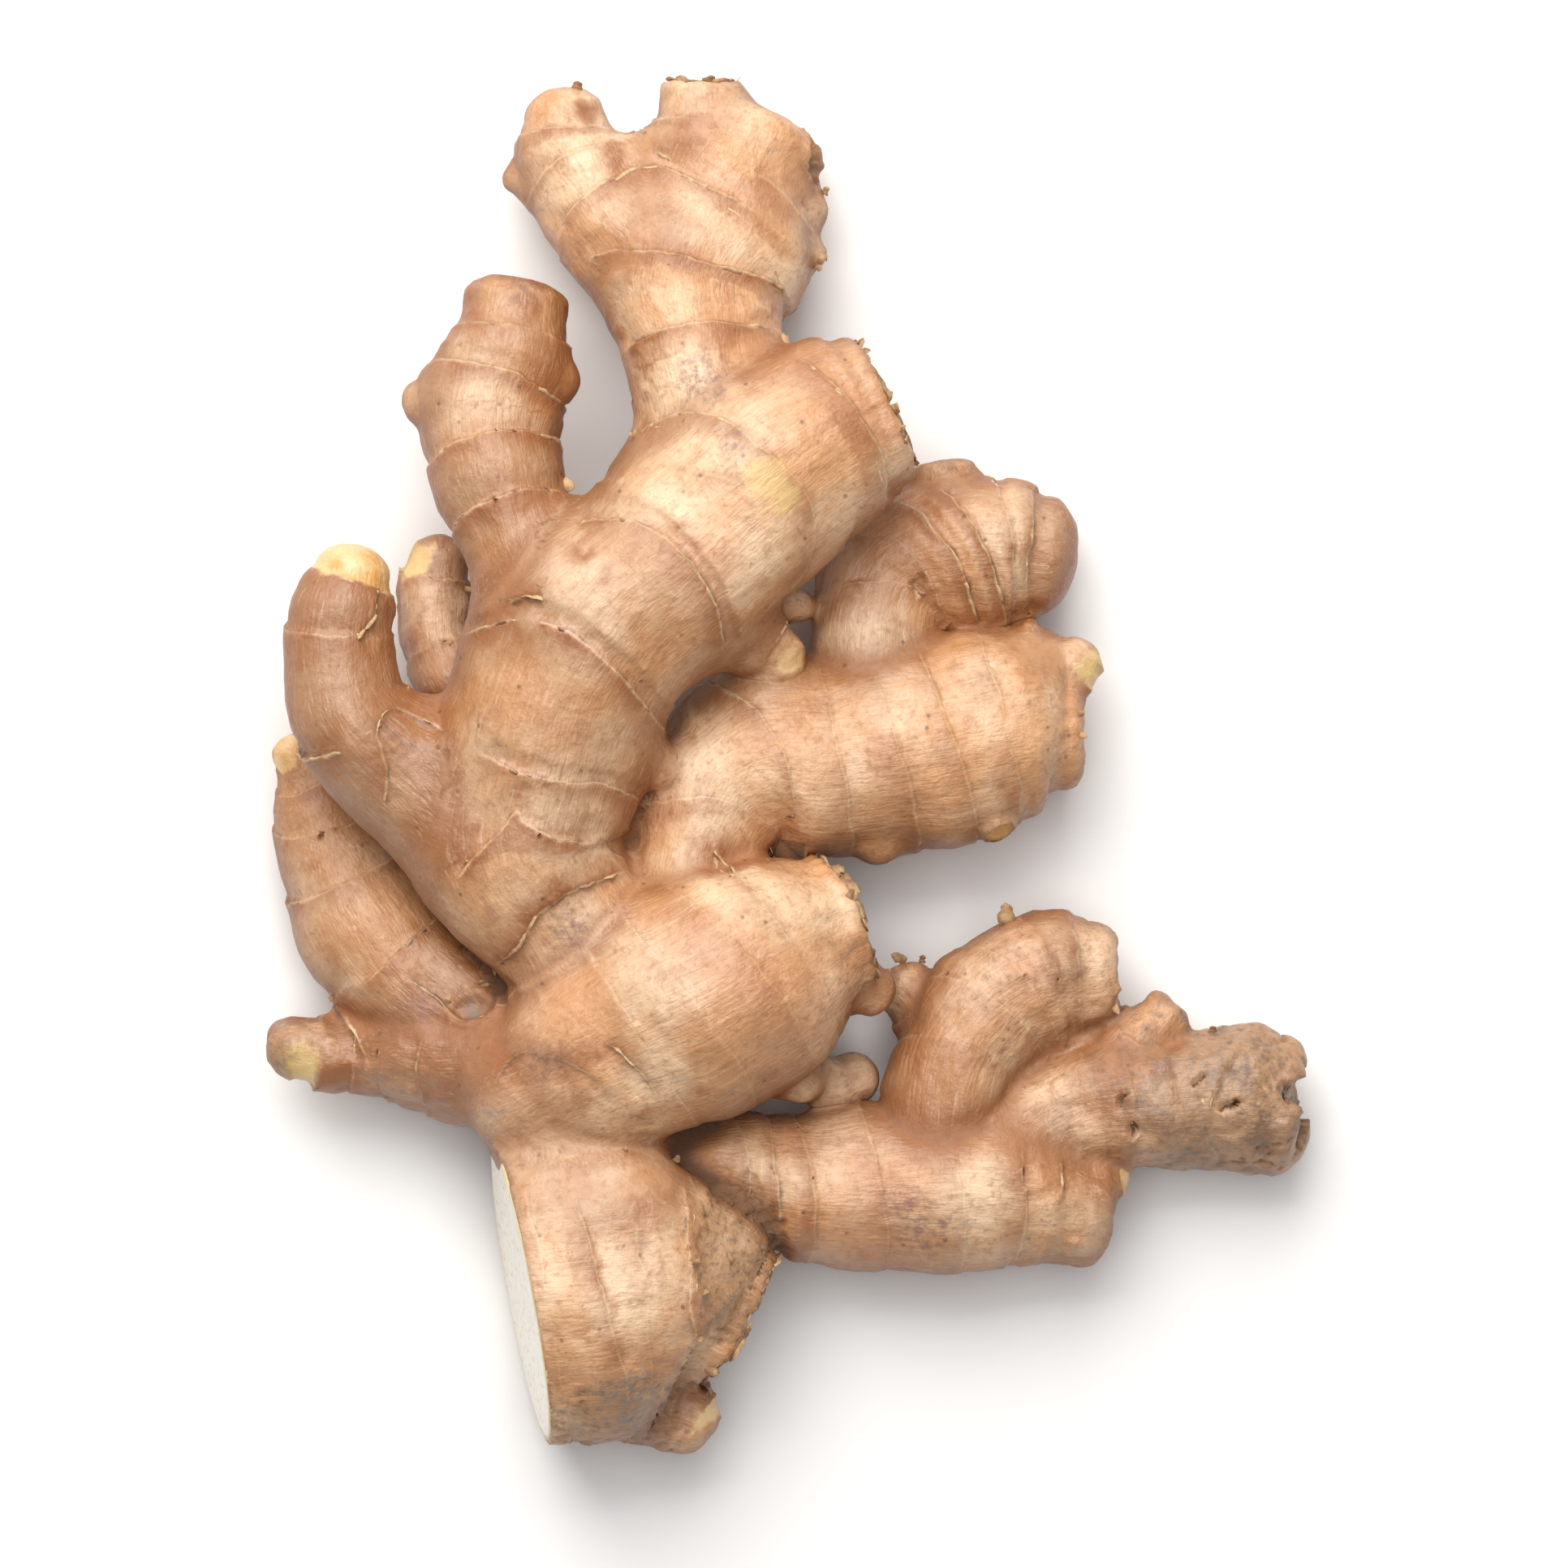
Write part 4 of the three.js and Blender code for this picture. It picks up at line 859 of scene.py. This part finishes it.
flesh = dict(
    cream="FFFCF4", straw="EFDDB0", dot="B48A4E", edge="DCC68C",
    fibrePitch=1.1, fibreDetail=5.0, fibreRough=0.7, fibreSpan=(0.45, 0.7), fibreMost=0.8,
    dotPitch=1.5, dotSpan=(0.3, 0.1), dotMost=1.0, rise=0.12, wet=0.42, glow=0.05, glowDepth=2,
)


# Freshly cut ginger flesh: wet cream-white, with fine fibres, yellow-brown specks and a yellower edge.
def makeFlesh():
    material, tree = startMaterial("cut_ginger_flesh")
    place = addNode(tree, "ShaderNodeTexCoord").outputs["Object"]
    fibre = addNode(tree, "ShaderNodeTexNoise", {}, {
        "Vector": place, "Scale": 1 / (flesh["fibrePitch"] * mm), "Detail": flesh["fibreDetail"],
        "Roughness": flesh["fibreRough"]}).outputs["Fac"]
    cells = addNode(tree, "ShaderNodeTexVoronoi", {}, {
        "Vector": place, "Scale": 1 / (flesh["dotPitch"] * mm)})
    share = addNode(tree, "ShaderNodeMapRange", {}, {
        "Value": fibre, "From Min": flesh["fibreSpan"][0], "From Max": flesh["fibreSpan"][1],
        "To Max": flesh["fibreMost"]}).outputs[0]
    dot = addNode(tree, "ShaderNodeMapRange", {}, {
        "Value": cells.outputs["Distance"], "From Min": flesh["dotSpan"][0], "From Max": flesh["dotSpan"][1],
        "To Max": flesh["dotMost"]}).outputs[0]
    dotShare = addNode(tree, "ShaderNodeMath", dict(operation="MULTIPLY"), {0: dot, 1: fibre}).outputs[0]
    edge = addNode(tree, "ShaderNodeAttribute", dict(attribute_name="rim")).outputs["Fac"]
    colour = toLinear(flesh["cream"])
    for name, amount in (("straw", share), ("dot", dotShare), ("edge", edge)):
        colour = addNode(tree, "ShaderNodeMix", dict(data_type="RGBA"), {
            0: amount, 6: colour, 7: toLinear(flesh[name])}).outputs[2]
    rise = addNode(tree, "ShaderNodeBump", {}, {"Height": fibre, "Distance": flesh["rise"] * mm}).outputs[0]
    shader = addNode(tree, "ShaderNodeBsdfPrincipled", {}, {
        "Base Color": colour, "Roughness": flesh["wet"], "Normal": rise, "Subsurface Weight": flesh["glow"],
        "Subsurface Scale": flesh["glowDepth"] * mm})
    addNode(tree, "ShaderNodeOutputMaterial", {}, {"Surface": shader.outputs[0]})
    return material


# Local marks seen on the skin: [x, y, radius] and the kind, 0 blue-grey, 1 yellow, 2 purple-brown, 3 rust.
marks = [
    [-48.5, -37.7, 2.2, 0], [-24, -98, 6, 0], [51, -31, 2.0, 0], [-45, -54, 2.0, 0], [-78, -40.8, 1.5, 0],
    [-3, 43, 4.0, 1], [0, 40, 3.0, 1], [46.8, 14.5, 3.0, 1], [-58, 31, 3.2, 1], [-74.5, -46.5, 3.6, 1],
    [-60, 5, 3.5, 2], [-57, 2, 3.0, 2], [22, -71.5, 5.5, 2], [18, -68.5, 4.0, 2], [-40, 72, 3.5, 2],
    [-36, -46, 4.0, 2], [-56, -38, 4.0, 2], [-12.5, 58.5, 5.0, 2], [-33, -25, 5.0, 2], [-8, 49, 3.0, 2],
    [-26.5, 94, 3.4, 3], [-30.8, 100, 2.8, 3], [-35.5, 57, 4.0, 3], [-40, 69, 3.5, 3], [-49, 70, 3.5, 3],
    [-69, -48, 4.0, 3], [-31, 32, 3.0, 3], [-12, -14, 4.0, 3], [-45, -45, 2.5, 3], [16, -30, 4.0, 3],
]
markEdge = dict(frayPitch=2.5, fray=0.5, span=(1.15, 0.35), least=6)  # only skin higher than least is marked


# Weight of each kind of mark: a smooth step of the distance over the radius, frayed by noise.
def markShares(points):
    shares = np.zeros((len(points), 4))
    fray = layeredNoise(points / markEdge["frayPitch"], 41, 3)
    for x, y, radius, kind in marks:
        apart = np.hypot(points[:, 0] - x, points[:, 1] - y) / radius
        share = smoothStep(apart + markEdge["fray"] * fray, *markEdge["span"])
        share = share * (points[:, 2] > markEdge["least"])
        shares[:, kind] = np.maximum(shares[:, kind], share)
    return shares


# The mesh that an object has once its modifiers are applied.
def appliedMesh(item):
    return bpy.data.meshes.new_from_object(item.evaluated_get(bpy.context.evaluated_depsgraph_get()))


# The solid's mesh, merged and remeshed into small even faces, then each vertex is settled on the smooth
# form, drawn onto a ring where one is near, and raised by the skin's own height.
def makeSkin(material):
    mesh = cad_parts["ginger_root"].data.copy()
    work = bmesh.new()
    work.from_mesh(mesh)
    bmesh.ops.remove_doubles(work, verts=work.verts, dist=hand["weld"] * mm)
    work.to_mesh(mesh)
    work.free()
    rough = bpy.data.objects.new("rough", mesh)
    bpy.context.scene.collection.objects.link(rough)
    remesh = rough.modifiers.new("even", "REMESH")
    remesh.mode, remesh.voxel_size = "VOXEL", hand["voxel"] * mm
    finer = appliedMesh(rough)
    places = np.zeros(len(finer.vertices) * 3)
    finer.vertices.foreach_get("co", places)
    points = settle(places.reshape(-1, 3) / mm + hand["middle"])
    print("skin form settled:", len(points), "points")
    state = skinState(points)
    along = np.zeros_like(points)
    for number, spine in enumerate(spines):
        here = state["which"] == number
        along[here] = readSpine(spine, np.clip(state["own"][here, 0], 0, spine["total"]))[1]
    along -= (along * state["outward"]).sum(1)[:, None] * state["outward"]
    onRing = np.abs(state["gap"]) < hand["voxel"] * hand["snapReach"]
    near = onRing & (state["force"] > hand["snapForce"]) & (state["apart"] > hand["snapApart"])
    points[near] -= along[near] * state["gap"][near][:, None]
    points = settle(points, 1)
    skin, state = dress(points)
    finer.vertices.foreach_set("co", toFrame(skin).ravel())
    span = hand["ringSpan"]
    values = dict(ringGap=np.clip(state["gap"], -span, span), age=state["age"],
                  ringForce=np.clip(state["force"], 0, 1), **{name: state[name] for name in (
                      "bud", "torn", "tan", "groove", "seam")})
    for name, value in values.items():
        finer.attributes.new(name, "FLOAT", "POINT").data.foreach_set("value", value)
    grain = grainPlace(state) + state["which"][:, None] * relief["fingerShift"]
    finer.attributes.new("grain", "FLOAT_VECTOR", "POINT").data.foreach_set("vector", grain.ravel())
    marked = markShares(points)
    finer.attributes.new("marks", "FLOAT_COLOR", "POINT").data.foreach_set("color", marked.ravel())
    rough.modifiers.clear()
    rough.data = finer
    thin = rough.modifiers.new("thin", "DECIMATE")
    thin.ratio = min(hand["mostTriangles"] / (2 * len(finer.polygons)), 1)
    thinned = appliedMesh(rough)
    bpy.data.objects.remove(rough)
    thinned.name = "ginger_skin"
    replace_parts(addPiece("ginger_skin", thinned, material), "ginger_root")


# Rims: heights and reaches in millimetres, and how places on folds are dropped onto the root from above.
rims = dict(
    step=0.42, tallest=0.62, forward=0.85, outwards=0.35, thick=0.06, edge=0.6, sunk=0.45,
    backFoot=(0.45, 0.12), frontFoot=(0.2, 0.55), sinkSpan=(0.02, 0.12), leastLevel=0.8, mostBud=0.5,
    even=0.15, widePitch=4.6, wideShare=0.75, finePitch=1.5, fineShare=0.5, mostRagged=1.3,
    drop=60.0, dropSteps=30, dropShare=0.8, dropSpan=(-2, 4), dropEnd=2,
)


# A band of closed sections: each section's points joined to the next section's. An open band gets both ends.
def bandFaces(count, around, start=0, closed=True):
    row, column = np.meshgrid(np.arange(count if closed else count - 1), np.arange(around), indexing="ij")
    beside, below = (column + 1) % around, (row + 1) % count
    sides = np.stack([row * around + column, row * around + beside, below * around + beside,
                      below * around + column], axis=-1).reshape(-1, 4) + start
    if closed:
        return sides.tolist()
    first = np.arange(around) + start
    return sides.tolist() + [first[::-1].tolist(), (first + (count - 1) * around).tolist()]


# The path of one ring round its finger, with the ring's own wander, and the direction past it.
def ringPath(number, ring):
    spine = spines[number]
    count = int(2 * np.pi * spine["ringRadius"][ring] / rims["step"])
    angle = np.linspace(0, 2 * np.pi, count, endpoint=False)
    cos, sin = np.cos(angle), np.sin(angle)
    level = spine["ringLength"][ring] + spine["shiftRight"][ring] * cos + spine["shiftTop"][ring] * sin
    wave = 0
    for _ in range(3):
        here, along, right, top, radius, _ = readSpine(spine, np.clip(level - wave, 0, spine["total"]))
        points = here + radius[:, None] * (cos[:, None] * right + spine["flat"] * sin[:, None] * top)
        wave = ringWave(points)
    return settle(points, 3), along


# Lowers points from above the root until they touch it, each by its distance.
def dropDown(places):
    points = np.column_stack([places, np.full(len(places), rims["drop"])])
    for _ in range(rims["dropSteps"]):
        points[:, 2] -= np.clip(rims["dropShare"] * rootDistance(points)["distance"], *rims["dropSpan"])
        points[:, 2] = np.maximum(points[:, 2], rims["dropEnd"])
    return settle(points, 2)


# The path of a fold, in even steps on the skin, and the direction from its high side to its low side.
def foldPath(line, step):
    length = lengthAlong(line)
    even = np.arange(0, length[-1], step)
    places = np.column_stack([np.interp(even, length, column) for column in line.T])
    run = np.gradient(places, axis=0)
    past = np.column_stack([run[:, 1], -run[:, 0], np.zeros(len(run))]) / np.linalg.norm(run, axis=1)[:, None]
    points = dropDown(places)
    return settle(points - limits["foldWander"] * ringWave(points)[:, None] * past, 2), past


# A papery rim: a small closed section of five points stands on the skin at each step of a path and leans past
# it. Its height is the ring's strength squared times noise, and it sinks into the skin where it ends.
def rimRows(points, along, owner=None):
    skin, state = dress(points)
    shown = (state["onCut"] == 0) * (skin[:, 2] > rims["leastLevel"]) * (state["bud"] < rims["mostBud"])
    if owner is not None:
        shown = shown * (state["which"] == owner) * smoothStep(state["apart"], *limits["seam"])
    outward = state["outward"]
    forward = unit(along - (along * outward).sum(1)[:, None] * outward, hand["small"])
    wide = rims["wideShare"] * slopeNoise(points / rims["widePitch"], 51)
    fine = rims["fineShare"] * slopeNoise(points / rims["finePitch"], 52)
    ragged = np.clip(rims["even"] + wide + fine, 0, rims["mostRagged"])
    height = rims["tallest"] * ragged * np.clip(state["force"], 0, 1) ** 2 * shown
    sink = (rims["sunk"] * (1 - shown * smoothStep(height, *rims["sinkSpan"])))[:, None] * outward
    lift = height[:, None] * (rims["forward"] * forward + rims["outwards"] * outward)
    thick = rims["thick"] * outward
    back, backDeep = rims["backFoot"]
    front, frontDeep = rims["frontFoot"]
    return np.stack([skin - back * forward - backDeep * outward - sink, skin + thick - sink,
                     skin + lift + rims["edge"] * thick - sink, skin + lift - rims["edge"] * thick - sink,
                     skin + front * forward - frontDeep * outward - sink], axis=1)


# Papery rims along every ring and fold, as one piece.
def makeRims(material):
    bands = [(rimRows(*ringPath(number, ring), number), True)
             for number, spine in enumerate(spines) for ring in range(len(spine["rings"]))]
    bands += [(rimRows(*foldPath(line, rims["step"])), False) for _, line in foldLines]
    faces, start = [], 0
    for rows, closed in bands:
        faces += bandFaces(*rows.shape[:2], start, closed)
        start += rows.shape[0] * rows.shape[1]
    makePiece("leaf_scar_rims", np.vstack([rows.reshape(-1, 3) for rows, _ in bands]), faces, material)


# Flakes: sizes in millimetres and angles in radians. A pair is the span that a draw is made from.
flakes = dict(
    rows=7, thick=0.13, rootSunk=0.75, leastCurl=0.1, taper=3, blunt=0.6, leastHalf=0.05, fray=(0.65, 1.25),
    leastScar=0.7, edge=0.11, endStep=1.8, endShift=0.4, endLong=(0.6, 2.6), endWide=(1.8, 4.6),
    endCurl=(-1.6, 1.4), endLean=(-0.5, 0.4), shortest=0.5, groupPitch=5, groupSwing=0.6,
    leastApart=0.5, leastLevel=1, endSunk=0.3, shredRise=0.12,
)

# Loose shreds of dry leaf scale: root [x, y], heading in degrees, length, width, and how far it curls, in
# radians.
shreds = [
    [34.4, -25.2, 100, 3.8, 2.6, 0.5], [18.8, -31.8, 150, 3.0, 1.4, 0.6], [16.5, -32.8, 170, 2.6, 1.5, 0.4],
    [21, -31.5, 80, 1.4, 1.0, 0.5], [9.2, -21.6, 60, 2.4, 1.0, 0.5], [14.4, -31.6, 80, 1.6, 1.0, 0.6],
    [-22.6, 50.2, 190, 1.6, 1.2, 0.4], [-33.5, 43.2, -30, 2.6, 2.0, 0.8], [-32.2, 41.2, -78, 4.0, 1.4, 0.3],
    [-1.2, 65.3, -50, 3.0, 1.6, 0.6], [5, 77.5, 10, 1.8, 2.0, 0.3], [4.6, 76.4, -30, 1.5, 1.0, 0.3],
    [-32.2, 104.2, 80, 1.4, 1.6, 0.5], [-70, -37.2, 95, 1.8, 1.4, 0.5], [-15.2, 2.2, -50, 1.6, 0.8, 0.6],
    [-9.4, 11.6, -70, 1.6, 0.8, 0.6], [-13.6, -75.2, -95, 4.6, 1.1, 2.4], [-13.5, -87.6, -80, 2.2, 1.0, 1.8],
    [-12.8, -80.5, -60, 2.6, 1.2, 2.0], [45, 7.2, 20, 1.6, 0.9, 0.5], [45.2, 4.2, -20, 1.8, 0.9, 0.7],
    [50.4, -37.4, -60, 2.0, 1.0, 0.7], [-46, -34.6, 120, 2.0, 1.5, 0.9], [-42, -34, 40, 1.8, 1.2, 0.9],
    [-51, -35.8, 200, 1.6, 1.4, 0.7], [-49.8, 26.6, 0, 1.9, 1.0, 0.5], [3.6, 96.6, 20, 2.0, 1.4, 0.8],
    [4.4, 94, 0, 2.0, 1.0, 0.6], [4.2, 91.6, -20, 2.3, 1.2, 0.8], [6.2, 87.8, 60, 1.4, 1.0, 0.4],
    [-16.4, -61, 60, 1.4, 1.0, 0.4], [-50.6, 17.8, 160, 1.4, 1.2, 0.4], [14.6, 58.4, 10, 2.2, 1.5, 2.2],
    [15.6, 56, -10, 2.6, 1.3, 2.4], [16.4, 53.6, 15, 2.2, 1.6, 2.0], [17, 51, -25, 2.8, 1.3, 2.5],
    [17.4, 49, 5, 2.4, 1.2, 2.2], [-11, -14.2, -75, 2.4, 0.8, 0.5], [66, -41.6, 95, 1.2, 1.2, 0.5],
    [-25.2, -60.4, 60, 1.2, 0.9, 0.5], [-8.6, -76.6, 20, 2.4, 1.8, 1.0], [-12.2, -93, -40, 2.6, 1.6, 0.8],
]


# Flakes of dry skin: each is a strip with a blunt tip that leaves its root forward and curls towards its lift
# side on an arc, length over curl in radius. A row holds its two edges, above and below, frayed by a draw.
def flakeRows(root, forward, lift, long, wide, curl, draw):
    share = np.linspace(0, 1, flakes["rows"])
    forward = unit(forward)
    lift = unit(lift - (lift * forward).sum(1)[:, None] * forward)
    side = np.cross(forward, lift)[:, None]
    forward, lift = forward[:, None], lift[:, None]
    curl = np.where(np.abs(curl) < flakes["leastCurl"], flakes["leastCurl"], curl)
    bend = (curl[:, None] * share)[:, :, None]
    radius = (long / curl)[:, None, None]
    line = root[:, None] + radius * (np.sin(bend) * forward + (1 - np.cos(bend)) * lift)
    line = line - flakes["rootSunk"] * (1 - share)[:, None] * lift
    half = wide[:, None] / 2 * (1 - share ** flakes["taper"]) ** flakes["blunt"] + flakes["leastHalf"]
    left, right = (half * draw.uniform(*flakes["fray"], half.shape) for _ in range(2))
    thick = flakes["thick"] / 2 * (np.cos(bend) * lift - np.sin(bend) * forward)
    return np.stack([line + left[:, :, None] * side + thick, line - right[:, :, None] * side + thick,
                     line - right[:, :, None] * side - thick, line + left[:, :, None] * side - thick], axis=2)


# Flakes round a dry end: along the finger and curled in or out, at even steps of the end's edge.
def endFlakes(number, draw):
    spine = spines[number]
    endRadius = spine["rows"][-1, 12]
    inset = spine["scar"] + flakes["edge"]
    count = int(2 * np.pi * inset * endRadius / flakes["endStep"])
    shift = draw.uniform(-flakes["endShift"], flakes["endShift"], count)
    angle = ((np.arange(count) + shift) * 2 * np.pi / count)[:, None]
    here, along, right, top, _, _ = readSpine(spine, np.full(count, spine["total"]))
    spokes = np.cos(angle) * right + spine["flat"] * np.sin(angle) * top
    tipHeight, square = spine["tip"]
    past = tipHeight * endRadius * (1 - inset ** square) ** (1 / square)
    skin, state = dress(settle(here + inset * endRadius * spokes + past * along, 3))
    spans = [flakes[name] for name in ("endLong", "endWide", "endCurl", "endLean")]
    long, wide, curl, lean = (draw.uniform(*span, count) for span in spans)
    shorter = flakes["shortest"] + (1 - flakes["shortest"]) * draw.uniform(0, 1, count) ** 2
    grouped = 1 + flakes["groupSwing"] * slopeNoise(skin / flakes["groupPitch"], 61)
    keep = (state["which"] == number) & (state["apart"] > flakes["leastApart"])
    keep &= (state["onCut"] == 0) & (skin[:, 2] > flakes["leastLevel"])
    root = skin - flakes["endSunk"] * along
    rows = flakeRows(root, along + lean[:, None] * spokes, spokes, long * shorter * grouped, wide, curl, draw)
    return rows[keep]


# The flakes of the dry ends and the single shreds, as one piece.
def makeFlakes(material):
    draw = np.random.default_rng(hand["seed"] + 2)
    groups = [endFlakes(number, draw) for number, spine in enumerate(spines)
              if spine["scar"] > flakes["leastScar"]]
    x, y, heading, long, wide, curl = np.array(shreds, float).T
    root = dress(dropDown(np.column_stack([x, y])))[0]
    turn = np.radians(heading)
    forward = np.column_stack([np.cos(turn), np.sin(turn), np.full(len(turn), flakes["shredRise"])])
    groups.append(flakeRows(root, forward, np.tile([0.0, 0, 1], (len(root), 1)), long, wide, curl, draw))
    rows = np.concatenate(groups)
    faces = []
    for number in range(len(rows)):
        faces += bandFaces(flakes["rows"], 4, number * flakes["rows"] * 4, closed=False)
    makePiece("dry_scale_flakes", rows.reshape(-1, 3), faces, material)


cutFace = dict(
    middle=np.array([-41.2, -83.0, 18.5]), farthest=45.0, halvings=24, inset=0.55, leastReach=1,
    across=240, rings=26, raised=0.16, fibrePitch=1.3, fibreHeight=0.07, edgeShare=0.99, edgeLift=0.02,
    leastLevel=0.02, skirt=1.6, skirtIn=0.4, rimSpan=(0.93, 1.0),
)


# The cut face: on the knife's plane, rays from the middle reach the foot's skin, found by halving, and
# rings between middle and edge carry a slight fibrous relief. A skirt behind closes it.
def makeCutFace(material):
    normal = knife["normal"]
    side = np.cross([0, 0, 1], normal)
    side /= np.linalg.norm(side)
    upward = np.cross(normal, side)
    middle = cutFace["middle"] - ((cutFace["middle"] - knife["point"]) @ normal) * normal
    around = cutFace["across"]
    column = np.arange(around)
    angle = column * 2 * np.pi / around
    ray = np.cos(angle)[:, None] * side + np.sin(angle)[:, None] * upward
    low, high = np.zeros(around), np.full(around, cutFace["farthest"])
    for _ in range(cutFace["halvings"]):
        trial = (low + high) / 2
        inside = rootDistance(middle + trial[:, None] * ray, wholeFoot=True)["distance"] < 0
        low, high = np.where(inside, trial, low), np.where(inside, high, trial)
    reach = np.maximum(low - cutFace["inset"], cutFace["leastReach"])
    share = np.linspace(0, 1, cutFace["rings"] + 1)[1:]
    grid = middle + (share[:, None] * reach)[:, :, None] * ray
    face = grid.reshape(-1, 3)
    edge = np.repeat(share, around)
    fibres = cutFace["fibreHeight"] * layeredNoise(face / cutFace["fibrePitch"], 71, 3)
    lift = np.where(edge > cutFace["edgeShare"], cutFace["edgeLift"], cutFace["raised"] + fibres)
    skirt = grid[-1] - cutFace["skirt"] * normal - cutFace["skirtIn"] * ray
    rows = np.vstack([face + lift[:, None] * normal, skirt])
    rows[:, 2] = np.maximum(rows[:, 2], cutFace["leastLevel"])
    points = np.vstack([rows, middle + cutFace["raised"] * normal, middle - cutFace["skirt"] * normal])
    front, back = len(points) - 2, len(points) - 1
    following = (column + 1) % around
    cap = np.stack([column, following, np.full(around, front)], axis=1)
    lastRow = cutFace["rings"] * around
    rear = np.stack([lastRow + following, lastRow + column, np.full(around, back)], axis=1)
    faces = bandFaces(cutFace["rings"] + 1, around, closed=False)[:-2] + cap.tolist() + rear.tolist()
    piece = makePiece("cut_face", points, faces, material)
    rim = np.concatenate([smoothStep(edge, *cutFace["rimSpan"]), np.ones(around), [0, 0]])
    piece.data.attributes.new("rim", "FLOAT", "POINT").data.foreach_set("value", rim)


# The table's side and farEnd, where the camera's view ends, are in metres. viewSide is how wide the picture
# is at viewMiddle, in millimetres.
stage = dict(floorSide=4.0, floorColour="F7F7F7", floorDull=0.85, floorSheen=0.2, cameraLens=300.0,
             sensor=36.0, viewSide=241.5, viewMiddle=(-0.42, -2.47, 20.0), farEnd=20)


# A pale table under the root, and a camera straight above: its distance is viewSide times lens over sensor.
def makeStage():
    bpy.ops.mesh.primitive_plane_add(size=stage["floorSide"])
    floor = bpy.context.object
    floor.name = "table"
    material, tree = startMaterial("pale_table_board")
    shader = addNode(tree, "ShaderNodeBsdfPrincipled", {}, {
        "Base Color": toLinear(stage["floorColour"]), "Roughness": stage["floorDull"],
        "Specular IOR Level": stage["floorSheen"]})
    addNode(tree, "ShaderNodeOutputMaterial", {}, {"Surface": shader.outputs[0]})
    floor.data.materials.append(material)
    camera = bpy.data.objects.new("camera", bpy.data.cameras.new("camera"))
    camera.data.lens, camera.data.sensor_width = stage["cameraLens"], stage["sensor"]
    away = stage["viewSide"] * mm * stage["cameraLens"] / stage["sensor"]
    x, y, z = (value * mm for value in stage["viewMiddle"])
    camera.location = (x, y, z + away)
    camera.data.clip_end = stage["farEnd"]
    bpy.context.scene.collection.objects.link(camera)
    bpy.context.scene.camera = camera


# Lamps: places and sides in metres, power in watts. The room's own light is soft and even.
lamps = [
    dict(name="window", at=(-0.2, 0.78, 0.92), size=1.0, power=17.5, colour="FFFBF6"),
    dict(name="overhead", at=(0.0, 0.1, 1.5), size=1.2, power=11.0, colour="FFFFFF"),
]
room = dict(colour="FAF8F6", strength=0.24)


# Square lamps that face the root, and the room's light.
def makeLamps():
    for lamp in lamps:
        data = bpy.data.lights.new(lamp["name"], "AREA")
        data.shape, data.size, data.energy = "SQUARE", lamp["size"], lamp["power"]
        data.color = toLinear(lamp["colour"])[:3]
        item = bpy.data.objects.new(lamp["name"], data)
        item.location = lamp["at"]
        item.rotation_mode = "QUATERNION"
        item.rotation_quaternion = (-item.location).to_track_quat("-Z", "Y")
        bpy.context.scene.collection.objects.link(item)
    world = bpy.data.worlds.new("room")
    bpy.context.scene.world = world
    world.use_nodes = True
    background = world.node_tree.nodes["Background"]
    background.inputs["Color"].default_value = toLinear(room["colour"])
    background.inputs["Strength"].default_value = room["strength"]
    bpy.context.scene.view_settings.view_transform = "Standard"


makeSkin(makeRind())
makeRims(makePaper("dry_leaf_scale_edge", "DDBC90", "97694A"))
makeFlakes(makePaper("dry_torn_scale", "C8A67E", "775538"))
makeCutFace(makeFlesh())
makeStage()
makeLamps()
print("table, camera and lamps placed")
